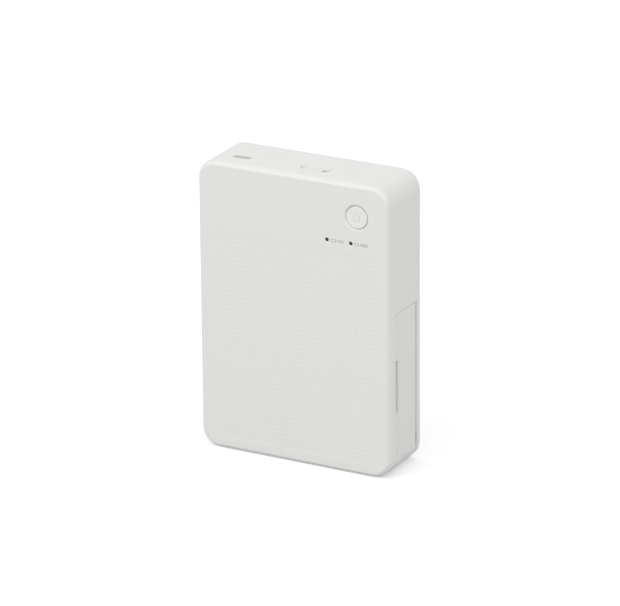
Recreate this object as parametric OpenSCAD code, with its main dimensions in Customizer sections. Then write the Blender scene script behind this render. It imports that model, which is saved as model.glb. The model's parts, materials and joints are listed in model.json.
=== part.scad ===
// Compact photo printer: two casing shells, a hinged cassette cover on its side,
// a cassette of ink film and sheets, a driven print engine, and a battery and boards above it.
// Millimetres. X runs to the right, the front faces -Y, and the body stands on Z = 0.

/* [Casing] */
// Width of the casing
body_w = 102.2; // [102.2:0.2:116]
// Height of the casing
body_h = 145.8; // [145.8:0.2:165]
// Depth of the casing over its rear feet
body_d = 32.9; // [32.9:0.1:36]
// Radius of the four corners, seen from the front
corner_r = 9.3; // [8:0.1:12]
// Radius of the rounded front edge
front_fillet = 5.8; // [4:0.1:6.5]
// Wall of the casing
wall = 2; // [1.8:0.1:2.2]
// Depth of the rear cover, up to the parting line
rear_cover_d = 3.75; // [3.4:0.05:4.2]
// Gap along every parting line
seam = 0.3; // [0.2:0.05:0.35]
// How far the rear feet stand out
foot_proud = 0.5; // [0.3:0.1:0.8]
// Diameter of a rear foot
foot_d = 9; // [6:0.5:10]

/* [Cassette cover] */
// Height of the cover's upper seam above the base
cover_top = 81.4; // [81:0.1:82]
// Distance from the rounded front edge back to the cover's front seam
cover_front = 0.35; // [0.2:0.05:0.6]
// Radius of the rounded rear edge that turns on the hinge
knuckle_r = 2.6; // [2.4:0.1:2.7]
// Diameter of the hinge pins
hinge_pin_d = 1.5; // [1.2:0.1:1.6]
// Length of the finger slot
slot_l = 26; // [18:0.5:32]
// Width of the finger slot
slot_w = 3; // [2:0.1:3.2]
// Depth of the finger slot
slot_depth = 2.6; // [2:0.1:2.8]

/* [Controls] */
// Diameter of the power button's cap
button_d = 11.1; // [9:0.1:12]
// Diameter of the dished ring around the button
dish_d = 13; // [12.6:0.1:14]
// Distance of the button from the right side
button_inset = 17.2; // [14:0.1:22]
// Distance of the button below the top
button_drop = 16.3; // [14:0.1:20]
// Travel of the button
button_travel = 0.6; // [0.3:0.1:0.7]
// Diameter of the status windows
window_d = 1.9; // [1.4:0.1:2.4]
// Distance of the status windows below the top
window_drop = 29.4; // [27:0.1:32]

/* [Top openings] */
// Length of the charging socket's opening
port_l = 9.3; // [9.2:0.1:9.6]
// Height of the charging socket's opening
port_w = 3.5; // [3.4:0.1:3.8]
// Length of the dish round the strap hole
strap_l = 16.4; // [14:0.2:18]
// Width of the dish round the strap hole
strap_w = 7.6; // [6:0.2:8]
// Depth of the dish round the strap hole
strap_dish = 1; // [0.8:0.1:1.2]
// Length of the strap hole
strap_hole_l = 4.6; // [4:0.2:5]
// Width of the strap hole
strap_hole_w = 3.6; // [3.2:0.2:4]
// Depth of the strap hole
strap_depth = 8; // [6:0.5:9]
// Diameter of the strap pin
strap_pin_d = 1.6; // [1.2:0.1:2]

/* [Paper path] */
// Width of the sheets, along the body's height
sheet_w = 72; // [70:0.5:72.5]
// Length of the sheets, along the way they travel
sheet_l = 66; // [60:0.5:66]
// Thickness of the full stack of sheets
stack_t = 2.6; // [1:0.1:2.8]
// Height of the paper slot's opening
exit_h = 2.4; // [1.8:0.1:2.6]

/* [Print engine] */
// Diameter of the platen roller
platen_d = 6; // [5.6:0.1:6.2]
// Diameter of the grip roller
grip_d = 4; // [3.6:0.1:4.2]
// Diameter of the pinch roller
pinch_d = 3.6; // [3:0.1:3.8]
// Diameter of the pick-up roller over its round part
pickup_d = 5.6; // [5:0.1:5.8]
// Module of the gears
gear_m = 0.5; // [0.48:0.005:0.505]
// Diameter of the drive motor
motor_d = 14; // [12:0.1:14.2]
// Length of the drive motor
motor_l = 21; // [16:0.5:24]

/* [Electronics] */
// Width of the battery pack
battery_w = 56; // [44:0.5:56]
// Height of the battery pack
battery_h = 40; // [30:0.5:42]
// Thickness of the battery pack
battery_t = 13; // [9:0.1:13.5]
// Thickness of the main board
board_t = 1; // [0.8:0.1:1.2]

/* [Hidden] */
$fn = 64;

// Margin by which a cutting tool passes the faces that it cuts.
cut = 1;
// Running clearance of a shaft in its bore, on the radius.
run = 0.05;
// Clearance between a fixed piece and its neighbour.
fit = 0.2;

white = "#dcdcda";
steel = "#b9bbbd";
black = "#2a2b2d";
grey = "#8d8f92";
green = "#2f6b45";

// Casing
front_y = -body_d / 2;
rear_y = body_d / 2 - foot_proud;
parting_y = rear_y - rear_cover_d;
side_x = body_w / 2;
inner_x = side_x - wall;
inner_front_y = front_y + wall;
inner_rear_y = rear_y - wall;
fillet_y = front_y + front_fillet;
rear_fillet = 0.8;

// Cassette cover and its hinge
cover_front_y = fillet_y + cover_front;
cover_rear_y = parting_y - seam;
hinge_x = side_x - knuckle_r;
hinge_y = cover_rear_y - knuckle_r;
cover_swing_r = norm([side_x - hinge_x, cover_front_y - hinge_y]);
cover_mid_z = (corner_r + cover_top) / 2;
cover_band = 0.25;
ear_t = 3;
ear_z = corner_r + 1;
ear_r = hinge_pin_d / 2 + 1;
knuckle_z = ear_z + ear_t + seam;
hinge_pin_l = 9;
top_pin_seat = 4.5;
top_ear_z = cover_top + seam;
slot_back = 0.5;

// Cassette, measured from the casing
case_t = 1.2;
frame_t = 0.8;
low_plate_z = wall + 1.2;
cas_low = low_plate_z + frame_t + 0.3;
cas_h = sheet_w + 2 * case_t + 1.2;
cas_top = cas_low + cas_h;
cas_mid = (cas_low + cas_top) / 2;
cas_left = -inner_x + 1.2;
grip_x = -inner_x + 6.8;
platen_x = grip_x + 12.8;
sheet_play = 1;
tray_left = platen_x + 8.9;
cas_right = tray_left + sheet_l + sheet_play + case_t;
cas_round = corner_r - 3.3;
tray_rear_y = hinge_y - knuckle_r - seam;
tray_front_y = tray_rear_y - 5.5;
lid_rear_y = tray_front_y - fit;
lid_front_y = lid_rear_y - 10.2;
high_plate_z = cas_top + 2.4;
spool_gear_t = 1.1;
spool_gear_z = cas_top + 0.3;

// Print engine, seen along the rollers
path_y = tray_rear_y - 1.4;
nip_gap = 0.25;
grip_y = path_y + nip_gap + grip_d / 2;
pinch_y = path_y - nip_gap - pinch_d / 2;
platen_y = path_y + nip_gap + platen_d / 2;
pickup_x = platen_x + 23.5;
pickup_y = tray_rear_y + 0.4 + pickup_d / 2;
tyre_l = 10;
tyre_z = [cas_mid - 18, cas_mid + 8];
roller_low = low_plate_z + frame_t + 0.6;
roller_high = high_plate_z - 0.6;
shaft_out = 0.3;
shaft_low = low_plate_z - shaft_out;
shaft_high = high_plate_z + frame_t + shaft_out;
face_low = cas_mid - sheet_w / 2;
face_high = face_low + sheet_w;
sheet_gap = 0.3;
shaft_d = 2.4;
pinch_shaft_d = 2;
bush_d = 4.2;
base_y = parting_y + 0.4;
base_t = 1;

// Window that the thermal head comes through, and the guide bars at its sides
window_left = platen_x - 9.7;
window_right = platen_x + 5.5;
bar_d = 1.5;
left_bar_x = window_left + 0.3;
right_bar_x = window_right + 1.1;
web_y = path_y - 0.85;
bar_y = web_y - bar_d / 2;
web_t = 0.12;
spool_y = (lid_front_y + lid_rear_y) / 2 + 0.1;
supply_x = -inner_x + 5.9;
take_up_x = platen_x + 12;
core_d = 3.6;
supply_roll_d = 6.8;
take_up_roll_d = 4.6;

// Thermal head on its arm
arm_t = 1;
arm_y = lid_front_y - 0.4 - arm_t;
pivot_x = platen_x + 24.5;
pivot_y = arm_y + arm_t - 1.85;
pivot_d = 2;
ear_d = 3.8;
plate_front_y = pivot_y - 1.55;
plate_left = -inner_x + 4.1;
plate_right = side_x - corner_r + 1.2;
head_left = platen_x - 1.5;
head_right = platen_x + 4.5;
head_low = face_low + 1;
head_l = sheet_w - 2;
head_travel_deg = 6;
head_tip_y = web_y - 0.15;

// Gears
gear_t = 3;
gear_z = high_plate_z + frame_t + 0.8;
bracket_z = gear_z + gear_t + 0.7;
grip_n = 20;
pinion_n = 10;
first_n = 20;
second_n = 34;
take_up_n = 20;
pickup_n = 14;
spool_n = 16;
grip_axis = [grip_x, grip_y];
pickup_axis = [pickup_x, pickup_y];
spool_axis = [take_up_x, spool_y];
take_up_axis = [take_up_x - gear_m * (take_up_n + spool_n) / 2, spool_y];
first_axis = meet(take_up_axis, grip_axis, first_n + take_up_n, first_n + grip_n);
second_axis = meet(pickup_axis, take_up_axis, second_n + pickup_n, second_n + take_up_n);
pinion_axis = first_axis + gear_m * (first_n + pinion_n) / 2 * [cos(230), sin(230)];
grip_turn = 0;
first_turn = mesh_turn(grip_axis, first_axis, grip_n, first_n, grip_turn);
pinion_turn = mesh_turn(first_axis, pinion_axis, first_n, pinion_n, first_turn);
take_up_turn = mesh_turn(first_axis, take_up_axis, first_n, take_up_n, first_turn);
second_turn = mesh_turn(take_up_axis, second_axis, take_up_n, second_n, take_up_turn);
pickup_turn = mesh_turn(second_axis, pickup_axis, second_n, pickup_n, second_turn);
spool_turn = mesh_turn(take_up_axis, spool_axis, take_up_n, spool_n, take_up_turn);

// Boards and battery, in the upper half
board_y = front_y + 8.9;
board_left = -inner_x + 10.1;
board_right = inner_x - 3.1;
board_low = bracket_z + 5;
board_high = body_h - wall - 1.2;
board_step_x = pinion_axis[0] + motor_d / 2 + 2.4;
board_step_z = bracket_z + motor_l + 4;
button_x = side_x - button_inset;
button_z = body_h - button_drop;
window_x = [button_x - 15.5, button_x - 2.9];
window_z = body_h - window_drop;
port_x = -side_x + 18.4;
port_y = front_y + 11.45;
strap_x = 6.2;
strap_y = front_y + 12.85;
strap_t = 1.4;
strap_hole_x = strap_x + (strap_l - strap_hole_l) / 2 - 0.6;
strap_pin_l = strap_hole_w + 2 * strap_t;
strap_pin_z = body_h - strap_dish - strap_t - strap_pin_d;
battery_x = board_step_x + 4;
battery_z = bracket_z + 4;
boss_d = 5.6;
screw_d = 2.4;
upper_boss_x = side_x - corner_r + 0.2;
post_d = 3.6;
post_bore = 1.9;
bracket_posts = [
    [grip_x - 0.8, grip_y - 8.55], [platen_x + 9.5, base_y - 2.2], [second_axis[0], pivot_y + 0.55]
];
board_holes = [
    [board_right - 3, board_low + 12], [board_left + 4, board_step_z + 6], [strap_x + 3.8, board_low + 8]
];
processor_at = [strap_x - 9, board_low + 20];
processor_w = 12;

// Button switch and flat cable
switch_t = 1.8;
switch_front_y = board_y - board_t - switch_t;
plunger_y = switch_front_y - button_travel - 0.05;
cable_x = [platen_x + 3.5, platen_x + 20.5];
cable_y = inner_front_y + 0.2;
upper_boss_z = body_h - 9;

// Screws, catches and feet
screw_head_d = 4.2;
screw_head_t = 1.2;
engine_screw_x = [-20, 20];
engine_screw_z = [low_plate_z + 6.8, high_plate_z - 8.3];
catch_z = [22, 70];
tongue_x = inner_x - 2.6;
foot_x = [-side_x + 13.1, side_x - 13.1];
foot_z = [14, body_h - 24];
foot_seat = 0.6;

// Centre of a gear that meshes with two others; the counts are sums of teeth.
function meet(p, q, teeth_p, teeth_q) =
    let (
        rp = gear_m * teeth_p / 2,
        rq = gear_m * teeth_q / 2,
        d = norm(q - p),
        along = (d * d + rp * rp - rq * rq) / (2 * d),
        aside = sqrt(rp * rp - along * along),
        u = (q - p) / d
    )
    p + along * u + aside * [-u[1], u[0]];

// Turn of a gear at q that puts its gap on the tooth of the gear at p.
function mesh_turn(p, q, teeth_p, teeth_q, turn_p) =
    let (line = atan2(q[1] - p[1], q[0] - p[0]))
    line + 180 - 180 / teeth_q + (line - turn_p) * teeth_p / teeth_q;

// Extrudes a drawing of X and Z backwards from y0.
module back_from(y0, length) {
    translate([0, y0 + length, 0]) rotate([90, 0, 0]) linear_extrude(length) children();
}

// Box given by its lowest and highest corners.
module block(low, high) {
    translate(low) cube(high - low);
}

// Upright cylinder at a point of the X-Y plane.
module upright(at, d, low, high) {
    translate([at[0], at[1], low]) cylinder(d = d, h = high - low);
}

// Cylinder along Y at a point of the X-Z plane.
module lengthwise(x, z, d, near, far) {
    back_from(near, far - near) translate([x, z]) circle(d = d);
}

// Slot with round ends, drawn about its centre.
module oblong(length, width) {
    square([length - width, width], center = true);
    for (end = [-1, 1]) translate([end * (length - width) / 2, 0]) circle(d = width);
}

// Rectangle with round corners, drawn from its lowest corner.
module rounded(size, r) {
    translate([r, 0]) square([size[0] - 2 * r, size[1]]);
    translate([0, r]) square([size[0], size[1] - 2 * r]);
    for (x = [r, size[0] - r], y = [r, size[1] - r]) translate([x, y]) circle(r);
}

// Gear with straight-sided teeth, standing on the low level.
module gear(at, teeth, turn, low, high, bore) {
    pitch_r = gear_m * teeth / 2;
    root_r = pitch_r - 1.2 * gear_m;
    tip_r = pitch_r + 0.9 * gear_m;
    backlash = 0.05;
    half_root = gear_m * 1.0;
    half_pitch = gear_m * PI / 4 - backlash;
    half_tip = gear_m * 0.36;
    translate([at[0], at[1], low]) rotate([0, 0, turn]) difference() {
        linear_extrude(high - low) union() {
            circle(r = root_r);
            for (i = [0:teeth - 1]) rotate(i * 360 / teeth)
                polygon([
                    [root_r * 0.9, -half_root], [root_r, -half_root * 0.95], [pitch_r, -half_pitch],
                    [tip_r, -half_tip], [tip_r, half_tip], [pitch_r, half_pitch],
                    [root_r, half_root * 0.95], [root_r * 0.9, half_root]
                ]);
        }
        if (bore > 0) translate([0, 0, -cut]) cylinder(d = bore, h = high - low + 2 * cut);
    }
}

// Carries a section, drawn as distance out from the corner's centre line against depth,
// round the outline of the body.
module around_outline() {
    for (q = [0:3]) {
        right = q < 2 ? 1 : -1;
        upper = q == 0 || q == 3 ? 1 : -1;
        translate([right * (side_x - corner_r), 0, body_h / 2 + upper * (body_h / 2 - corner_r)])
            rotate([0, 90 * q, 0]) quarter_turn() children();
    }
    for (side = [0, 1])
        mirror([side, 0, 0]) translate([side_x - corner_r, 0, corner_r])
            linear_extrude(body_h - 2 * corner_r) children();
    for (side = [0, 1])
        translate([0, 0, body_h / 2]) mirror([0, 0, side])
            translate([side_x - corner_r, 0, body_h / 2 - corner_r]) rotate([0, -90, 0])
            linear_extrude(body_w - 2 * corner_r) children();
}

// Turns a section about Y through the upper right quarter.
module quarter_turn() {
    rotate([-90, 0, 0]) rotate([0, 0, -90]) rotate_extrude(angle = 90) children();
}

// Region inside a rounded front edge, from the corner's centre line outwards.
module rounded_front(front, r, fillet, back) {
    translate([0, front]) square([r - fillet, fillet]);
    intersection() {
        translate([r - fillet, front + fillet]) circle(fillet);
        translate([r - fillet, front]) square(fillet);
    }
    translate([0, front + fillet]) square([r, back - front - fillet]);
}

// Section of the front shell's wall with its rounded front edge.
module shell_section() {
    difference() {
        rounded_front(front_y, corner_r, front_fillet, parting_y);
        rounded_front(inner_front_y, corner_r - wall, front_fillet - wall, parting_y + cut);
    }
}

// Section of the rear cover's rim and plate, with its rounded rear edge.
module rear_section() {
    difference() {
        union() {
            translate([0, parting_y]) square([corner_r, rear_cover_d - rear_fillet]);
            translate([0, rear_y - rear_fillet]) square([corner_r - rear_fillet, rear_fillet]);
            intersection() {
                translate([corner_r - rear_fillet, rear_y - rear_fillet]) circle(rear_fillet);
                translate([corner_r - rear_fillet, rear_y - rear_fillet]) square(rear_fillet);
            }
        }
        translate([-cut, parting_y - cut])
            square([corner_r - wall + cut, inner_rear_y - parting_y + cut]);
    }
}

// Post inside the front shell, open to the rear for a case screw.
module screw_boss(x, z) {
    difference() {
        lengthwise(x, z, boss_d, inner_front_y, parting_y - 0.2);
        lengthwise(x, z, screw_d - 0.5, parting_y - 9, parting_y);
    }
}

// Space that the cassette cover and its swing take out of the casing.
module cover_opening() {
    block([side_x - corner_r - 0.8, cover_front_y - seam, -cut],
        [side_x + cut, parting_y + cut, cover_top + seam]);
}

module front_shell() {
    color(white) difference() {
        union() {
            difference() {
                union() {
                    around_outline() shell_section();
                    back_from(front_y, wall)
                        translate([-side_x + corner_r, corner_r])
                        square([body_w - 2 * corner_r, body_h - 2 * corner_r]);
                }
                cover_opening();
            }
            // floor of the strap's dish, and the cup below its hole
            translate([strap_x, strap_y, body_h - strap_dish - strap_t])
                linear_extrude(strap_dish + strap_t - wall + cut / 2)
                oblong(strap_l + 2 * strap_t, strap_w + 2 * strap_t);
            translate([strap_hole_x, strap_y, body_h - strap_depth - strap_t])
                linear_extrude(strap_depth)
                square([strap_hole_l + 2 * strap_t, strap_hole_w + 2 * strap_t], center = true);
            // seat of the upper hinge pin
            block([inner_x - 3.4, hinge_y - knuckle_r, top_ear_z + 0.1],
                [inner_x + 0.1, parting_y - 0.2, top_ear_z + top_pin_seat + 1.5]);
            // posts for the two upper case screws
            for (side = [-1, 1]) screw_boss(side * upper_boss_x, upper_boss_z);
        }
        // paper slot in the left side
        block([-side_x - cut, path_y - exit_h / 2, face_low - 1],
            [-inner_x + cut, path_y + exit_h / 2, face_high + 1]);
        // charging socket's opening
        translate([port_x, port_y, body_h - wall - cut])
            linear_extrude(wall + 2 * cut) oblong(port_l, port_w);
        // strap's dish and hole
        translate([strap_x, strap_y, body_h - strap_dish])
            linear_extrude(strap_dish + cut) oblong(strap_l, strap_w);
        translate([strap_hole_x, strap_y, body_h - strap_depth])
            linear_extrude(strap_depth) square([strap_hole_l, strap_hole_w], center = true);
        // strap pin's seats
        translate([strap_hole_x, strap_y - strap_pin_l / 2 - fit, strap_pin_z])
            rotate([-90, 0, 0]) cylinder(d = strap_pin_d, h = strap_pin_l + 2 * fit);
        // button opening in its dished ring
        lengthwise(button_x, button_z, button_d + 0.5, front_y - cut, inner_front_y + cut);
        translate([button_x, front_y - 0.001, button_z]) rotate([-90, 0, 0])
            cylinder(d1 = dish_d, d2 = button_d + 0.4, h = 0.6);
        // holes for the status windows
        for (x = window_x) lengthwise(x, window_z, window_d, front_y - cut, inner_front_y + cut);
        // upper hinge pin's seat
        upright([hinge_x, hinge_y], hinge_pin_d, cover_top - cut, top_ear_z + top_pin_seat);
    }
}

module rear_cover() {
    color(white) difference() {
        union() {
            difference() {
                union() {
                    around_outline() rear_section();
                    back_from(inner_rear_y, wall)
                        translate([-side_x + corner_r, corner_r])
                        square([body_w - 2 * corner_r, body_h - 2 * corner_r]);
                }
                // clearance for the cover's swing at the lower right corner
                block([side_x - corner_r - 0.8, parting_y - cut, -cut],
                    [hinge_x - knuckle_r + 0.1, parting_y + 0.05, corner_r]);
            }
            // short posts that meet the front shell's posts and the engine frame
            for (side = [-1, 1])
                lengthwise(side * upper_boss_x, upper_boss_z, boss_d, parting_y - 0.1, inner_rear_y + 0.1);
            for (x = engine_screw_x, z = engine_screw_z)
                lengthwise(x, z, boss_d, base_y + base_t + 0.05, inner_rear_y + 0.1);
        }
        for (side = [-1, 1]) case_screw_hole(side * upper_boss_x, upper_boss_z);
        for (x = engine_screw_x, z = engine_screw_z) case_screw_hole(x, z);
        for (x = foot_x, z = foot_z) lengthwise(x, z, foot_d + 0.2, rear_y - foot_seat, rear_y + cut);
    }
}

// Countersunk hole for a case screw, from the rear.
module case_screw_hole(x, z) {
    lengthwise(x, z, screw_d + 0.4, parting_y - 2 * cut, rear_y + cut);
    lengthwise(x, z, screw_head_d + 0.3, rear_y - screw_head_t - 0.2, rear_y + cut);
}

// Outer form of the cassette cover: a plate that runs round the lower corner.
module cover_skin() {
    block([inner_x, cover_front_y, corner_r], [side_x, cover_rear_y, cover_top]);
    translate([side_x - corner_r, 0, corner_r]) rotate([0, 90, 0]) quarter_turn()
        translate([corner_r - wall, cover_front_y]) square([wall, cover_rear_y - cover_front_y]);
}

module cassette_cover() {
    color(white) difference() {
        union() {
            difference() {
                cover_skin();
                // rounded rear edge, about the hinge
                difference() {
                    block([hinge_x, hinge_y, -cut], [side_x + cut, cover_rear_y + cut, cover_top + cut]);
                    upright([hinge_x, hinge_y], 2 * knuckle_r, -2 * cut, cover_top + 2 * cut);
                }
                // the lower corner's front edge, kept inside the swing
                difference() {
                    block([side_x - corner_r - cut, cover_front_y - cut, -cut],
                        [hinge_x, cover_front_y + 2, corner_r]);
                    upright([hinge_x, hinge_y], 2 * cover_swing_r, -2 * cut, corner_r + cut);
                }
                // shallow band along the front edge
                block([side_x - cover_band, cover_front_y - cut, corner_r],
                    [side_x + cut, cover_front_y + slot_w, cover_top - 2]);
            }
            upright([hinge_x, hinge_y], 2 * knuckle_r, knuckle_z, cover_top);
            // box behind the finger slot
            block([side_x - slot_depth - slot_back, cover_front_y + 0.4, cover_mid_z - slot_l / 2 - 1],
                [inner_x + 0.1, cover_front_y + slot_w + 1, cover_mid_z + slot_l / 2 + 1]);
            // tongues that the catches hold
            for (z = catch_z)
                block([tongue_x, cover_front_y + 0.05, z - 3], [inner_x + 0.1, lid_front_y - fit, z + 3]);
        }
        // finger slot
        block([side_x - slot_depth, cover_front_y + 0.9, cover_mid_z - slot_l / 2],
            [side_x + cut, cover_front_y + slot_w, cover_mid_z + slot_l / 2]);
        // pocket round the lower hinge ear
        block([hinge_x - knuckle_r - cut, hinge_y - 4.3, ear_z - seam],
            [hinge_x + ear_r + seam, cover_rear_y + cut, knuckle_z]);
        // bores of the hinge pins
        upright([hinge_x, hinge_y], hinge_pin_d + 2 * run, knuckle_z - cut, ear_z + hinge_pin_l + 1);
        upright([hinge_x, hinge_y], hinge_pin_d + 2 * run, cover_top - top_pin_seat - 0.5, cover_top + cut);
    }
}

module hinge_pins() {
    color(steel) {
        upright([hinge_x, hinge_y], hinge_pin_d, ear_z, ear_z + hinge_pin_l);
        upright([hinge_x, hinge_y], hinge_pin_d, cover_top - top_pin_seat, top_ear_z + top_pin_seat);
    }
}

// Moulded catches inside the front face, one beside each tongue of the cover.
module cover_catches() {
    color(black) for (z = catch_z) {
        block([tongue_x - 5, inner_front_y + 0.15, z - 4], [tongue_x - 0.3, inner_front_y + 1.6, z + 4]);
        block([tongue_x - 1.5, inner_front_y + 1.6, z - 3], [tongue_x - 0.3, lid_front_y - fit, z + 3]);
    }
}

// Small switch that the upper tongue presses as the cover closes.
module cover_switch() {
    low = catch_z[1] - 12;
    right = tongue_x - 1.8;
    color(black) block([tongue_x - 6, inner_front_y + 0.1, low], [right, inner_front_y + 3, low + 7]);
    color(steel)
        block([right, inner_front_y + 2, low + 3], [tongue_x - seam, inner_front_y + 2.6, low + 8]);
}

module power_button() {
    color("#e2e2e0") {
        lengthwise(button_x, button_z, button_d, front_y + 0.25, inner_front_y + 0.4);
        lengthwise(button_x, button_z, button_d + 1.8, inner_front_y + 0.4, inner_front_y + 1.2);
        lengthwise(button_x, button_z, 3, inner_front_y + 1.2, plunger_y - 0.05);
    }
}

// Clear guides from the status LEDs to the front face.
module status_light_guides() {
    color("#1b1b1d") for (x = window_x) {
        lengthwise(x, window_z, window_d - 0.1, front_y + 0.15, inner_front_y + 0.1);
        lengthwise(x, window_z, window_d + 1.4, inner_front_y + 0.1, board_y - board_t - 1.2);
    }
}

module strap_pin() {
    color(steel) translate([strap_hole_x, strap_y - strap_pin_l / 2, strap_pin_z])
        rotate([-90, 0, 0]) cylinder(d = strap_pin_d - 0.1, h = strap_pin_l);
}

module rear_feet() {
    color("#3a3b3d") for (x = foot_x, z = foot_z)
        lengthwise(x, z, foot_d, rear_y - foot_seat, rear_y + foot_proud);
}

module case_screws() {
    color(steel) {
        for (side = [-1, 1]) case_screw(side * upper_boss_x, upper_boss_z, parting_y - 6);
        for (x = engine_screw_x, z = engine_screw_z) case_screw(x, z, base_y - 1.4);
    }
}

// Countersunk cross-head screw, with its tip at tip_y.
module case_screw(x, z, tip_y) {
    head_y = rear_y - screw_head_t - 0.1;
    difference() {
        union() {
            lengthwise(x, z, screw_head_d, head_y, rear_y - 0.1);
            lengthwise(x, z, screw_d - 0.6, tip_y, head_y);
        }
        block([x - 1.2, rear_y - 0.7, z - 0.25], [x + 1.2, rear_y + cut, z + 0.25]);
        block([x - 0.25, rear_y - 0.7, z - 1.2], [x + 0.25, rear_y + cut, z + 1.2]);
    }
}

// Outline of the frame's two end plates, seen along the rollers.
module end_plate_outline() {
    polygon([
        [plate_left, plate_front_y + 7.3], [plate_left + 7, plate_front_y],
        [plate_right - 5, plate_front_y], [plate_right, plate_front_y + 5.3],
        [plate_right, base_y + base_t], [plate_left, base_y + base_t]
    ]);
}

module engine_frame() {
    color(steel) difference() {
        union() {
            translate([0, 0, low_plate_z]) linear_extrude(frame_t) end_plate_outline();
            translate([0, 0, high_plate_z]) linear_extrude(frame_t) end_plate_outline();
            block([plate_left, base_y, low_plate_z], [plate_right, base_y + base_t, high_plate_z + frame_t]);
            // ear of the lower hinge pin
            translate([0, 0, ear_z]) linear_extrude(ear_t) {
                translate([hinge_x, hinge_y]) circle(ear_r);
                polygon([
                    [hinge_x, hinge_y - ear_r], [plate_right, hinge_y + 0.6],
                    [plate_right, base_y], [plate_right - base_t, base_y],
                    [plate_right - base_t, base_y + base_t],
                    [hinge_x - 4.8, base_y + base_t], [hinge_x - 1.2, hinge_y + 1.2], [hinge_x, hinge_y]
                ]);
            }
        }
        // shaft and bush holes in both end plates
        for (z = [low_plate_z, high_plate_z]) {
            upright(grip_axis, bush_d + 2 * run, z - cut, z + frame_t + cut);
            upright([platen_x, platen_y], bush_d + 2 * run, z - cut, z + frame_t + cut);
            upright([grip_x, pinch_y], pinch_shaft_d + 2 * run, z - cut, z + frame_t + cut);
            upright(pickup_axis, shaft_d + 2 * run, z - cut, z + frame_t + cut);
            upright([pivot_x, pivot_y], pivot_d + 2 * run, z - cut, z + frame_t + cut);
        }
        upright(take_up_axis, shaft_d + 2 * run, high_plate_z - cut, high_plate_z + frame_t + cut);
        for (at = bracket_posts) upright(at, post_bore, high_plate_z - cut, high_plate_z + frame_t + cut);
        // notch for the flat cable
        block([cable_x[0] - 1, inner_front_y, high_plate_z - cut],
            [cable_x[1] + 1, cable_y + 0.6, high_plate_z + frame_t + cut]);
        for (axis = [first_axis, second_axis])
            upright(axis, shaft_d + 2 * run, high_plate_z - cut, high_plate_z + frame_t + cut);
        // lightening windows in the base
        for (x = [plate_left + 7, plate_right - 31], z = [cas_mid - 24, cas_mid + 4])
            block([x, base_y - cut, z], [x + 24, base_y + base_t + cut, z + 20]);
        for (x = engine_screw_x, z = engine_screw_z)
            lengthwise(x, z, screw_d, base_y - cut, base_y + base_t + cut);
        upright([hinge_x, hinge_y], hinge_pin_d + 0.02, ear_z - cut, ear_z + ear_t + cut);
    }
}

// Screws that hold the motor bracket's posts on the frame.
module engine_screws() {
    color(steel) for (at = bracket_posts) difference() {
        union() {
            upright(at, post_d, high_plate_z - screw_head_t, high_plate_z);
            upright(at, post_bore - 0.1, high_plate_z, high_plate_z + 4);
        }
        translate([at[0] - 1.2, at[1] - 0.25, high_plate_z - screw_head_t - cut]) cube([2.4, 0.5, cut + 0.5]);
    }
}

module motor_bracket() {
    color(steel) difference() {
        union() {
            block([-inner_x + 3.1, plate_front_y + 0.3, bracket_z],
                [pickup_x + 4, base_y - 0.1, bracket_z + frame_t]);
            for (at = bracket_posts) upright(at, post_d, high_plate_z + frame_t, bracket_z);
        }
        upright(pinion_axis, gear_m * pinion_n + 2, bracket_z - cut, bracket_z + frame_t + cut);
        for (at = [grip_axis, take_up_axis, first_axis, second_axis])
            upright(at, shaft_d + 2 * run, bracket_z - cut, bracket_z + frame_t + cut);
        for (at = bracket_posts) upright(at, post_bore, high_plate_z - cut, high_plate_z + 4.2);
    }
}

module drive_motor() {
    color(steel) {
        upright(pinion_axis, motor_d, bracket_z + frame_t, bracket_z + frame_t + motor_l);
        upright(pinion_axis, 5, bracket_z + frame_t + motor_l, bracket_z + frame_t + motor_l + 1.2);
    }
    color(black) translate([pinion_axis[0], pinion_axis[1], bracket_z + frame_t + motor_l])
        for (side = [-1, 1]) translate([side * 4 - 0.8, -0.4, 0]) cube([1.6, 0.8, 2.4]);
}

module motor_pinion() {
    color("#c9a24b") {
        gear(pinion_axis, pinion_n, pinion_turn, gear_z, gear_z + gear_t, 0);
        upright(pinion_axis, 2, gear_z + gear_t, bracket_z + frame_t - 0.02);
    }
}

module first_idler_gear() {
    color("#e6e4dc") gear(first_axis, first_n, first_turn, gear_z, gear_z + gear_t, shaft_d + 2 * run);
}

module second_idler_gear() {
    color("#e6e4dc") gear(second_axis, second_n, second_turn, gear_z, gear_z + gear_t, shaft_d + 2 * run);
}

module idler_axles() {
    color(steel) for (at = [first_axis, second_axis])
        upright(at, shaft_d, high_plate_z - 0.6, bracket_z + frame_t - 0.05);
}

// Shaft with its driven gear above the frame and the gear that turns the take-up spool below it.
module take_up_drive() {
    color("#e6e4dc") {
        upright(take_up_axis, shaft_d, spool_gear_z, bracket_z + frame_t + 0.4);
        gear(take_up_axis, take_up_n, take_up_turn, gear_z, gear_z + gear_t, 0);
        gear(take_up_axis, take_up_n, take_up_turn, spool_gear_z, spool_gear_z + spool_gear_t, 0);
    }
}

// Steel roller that moves the sheet, with its gear.
module grip_roller() {
    color(steel) {
        upright(grip_axis, grip_d, roller_low, roller_high);
        upright(grip_axis, shaft_d, shaft_low, bracket_z + frame_t + 0.4);
    }
    color("#e6e4dc") gear(grip_axis, grip_n, grip_turn, gear_z, gear_z + gear_t, shaft_d - 0.2);
}

// Flanged bush in each end plate.
module bush_pair(at) {
    for (side = [0, 1]) {
        z = side == 0 ? low_plate_z : high_plate_z;
        flange_z = side == 0 ? z + frame_t : z - 0.4;
        difference() {
            union() {
                upright(at, bush_d, z, z + frame_t);
                upright(at, bush_d + 1.4, flange_z, flange_z + 0.4);
            }
            upright(at, shaft_d + 2 * run, z - cut, z + frame_t + cut);
        }
    }
}

module grip_bushes() {
    color("#b08d57") bush_pair(grip_axis);
}

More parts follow.
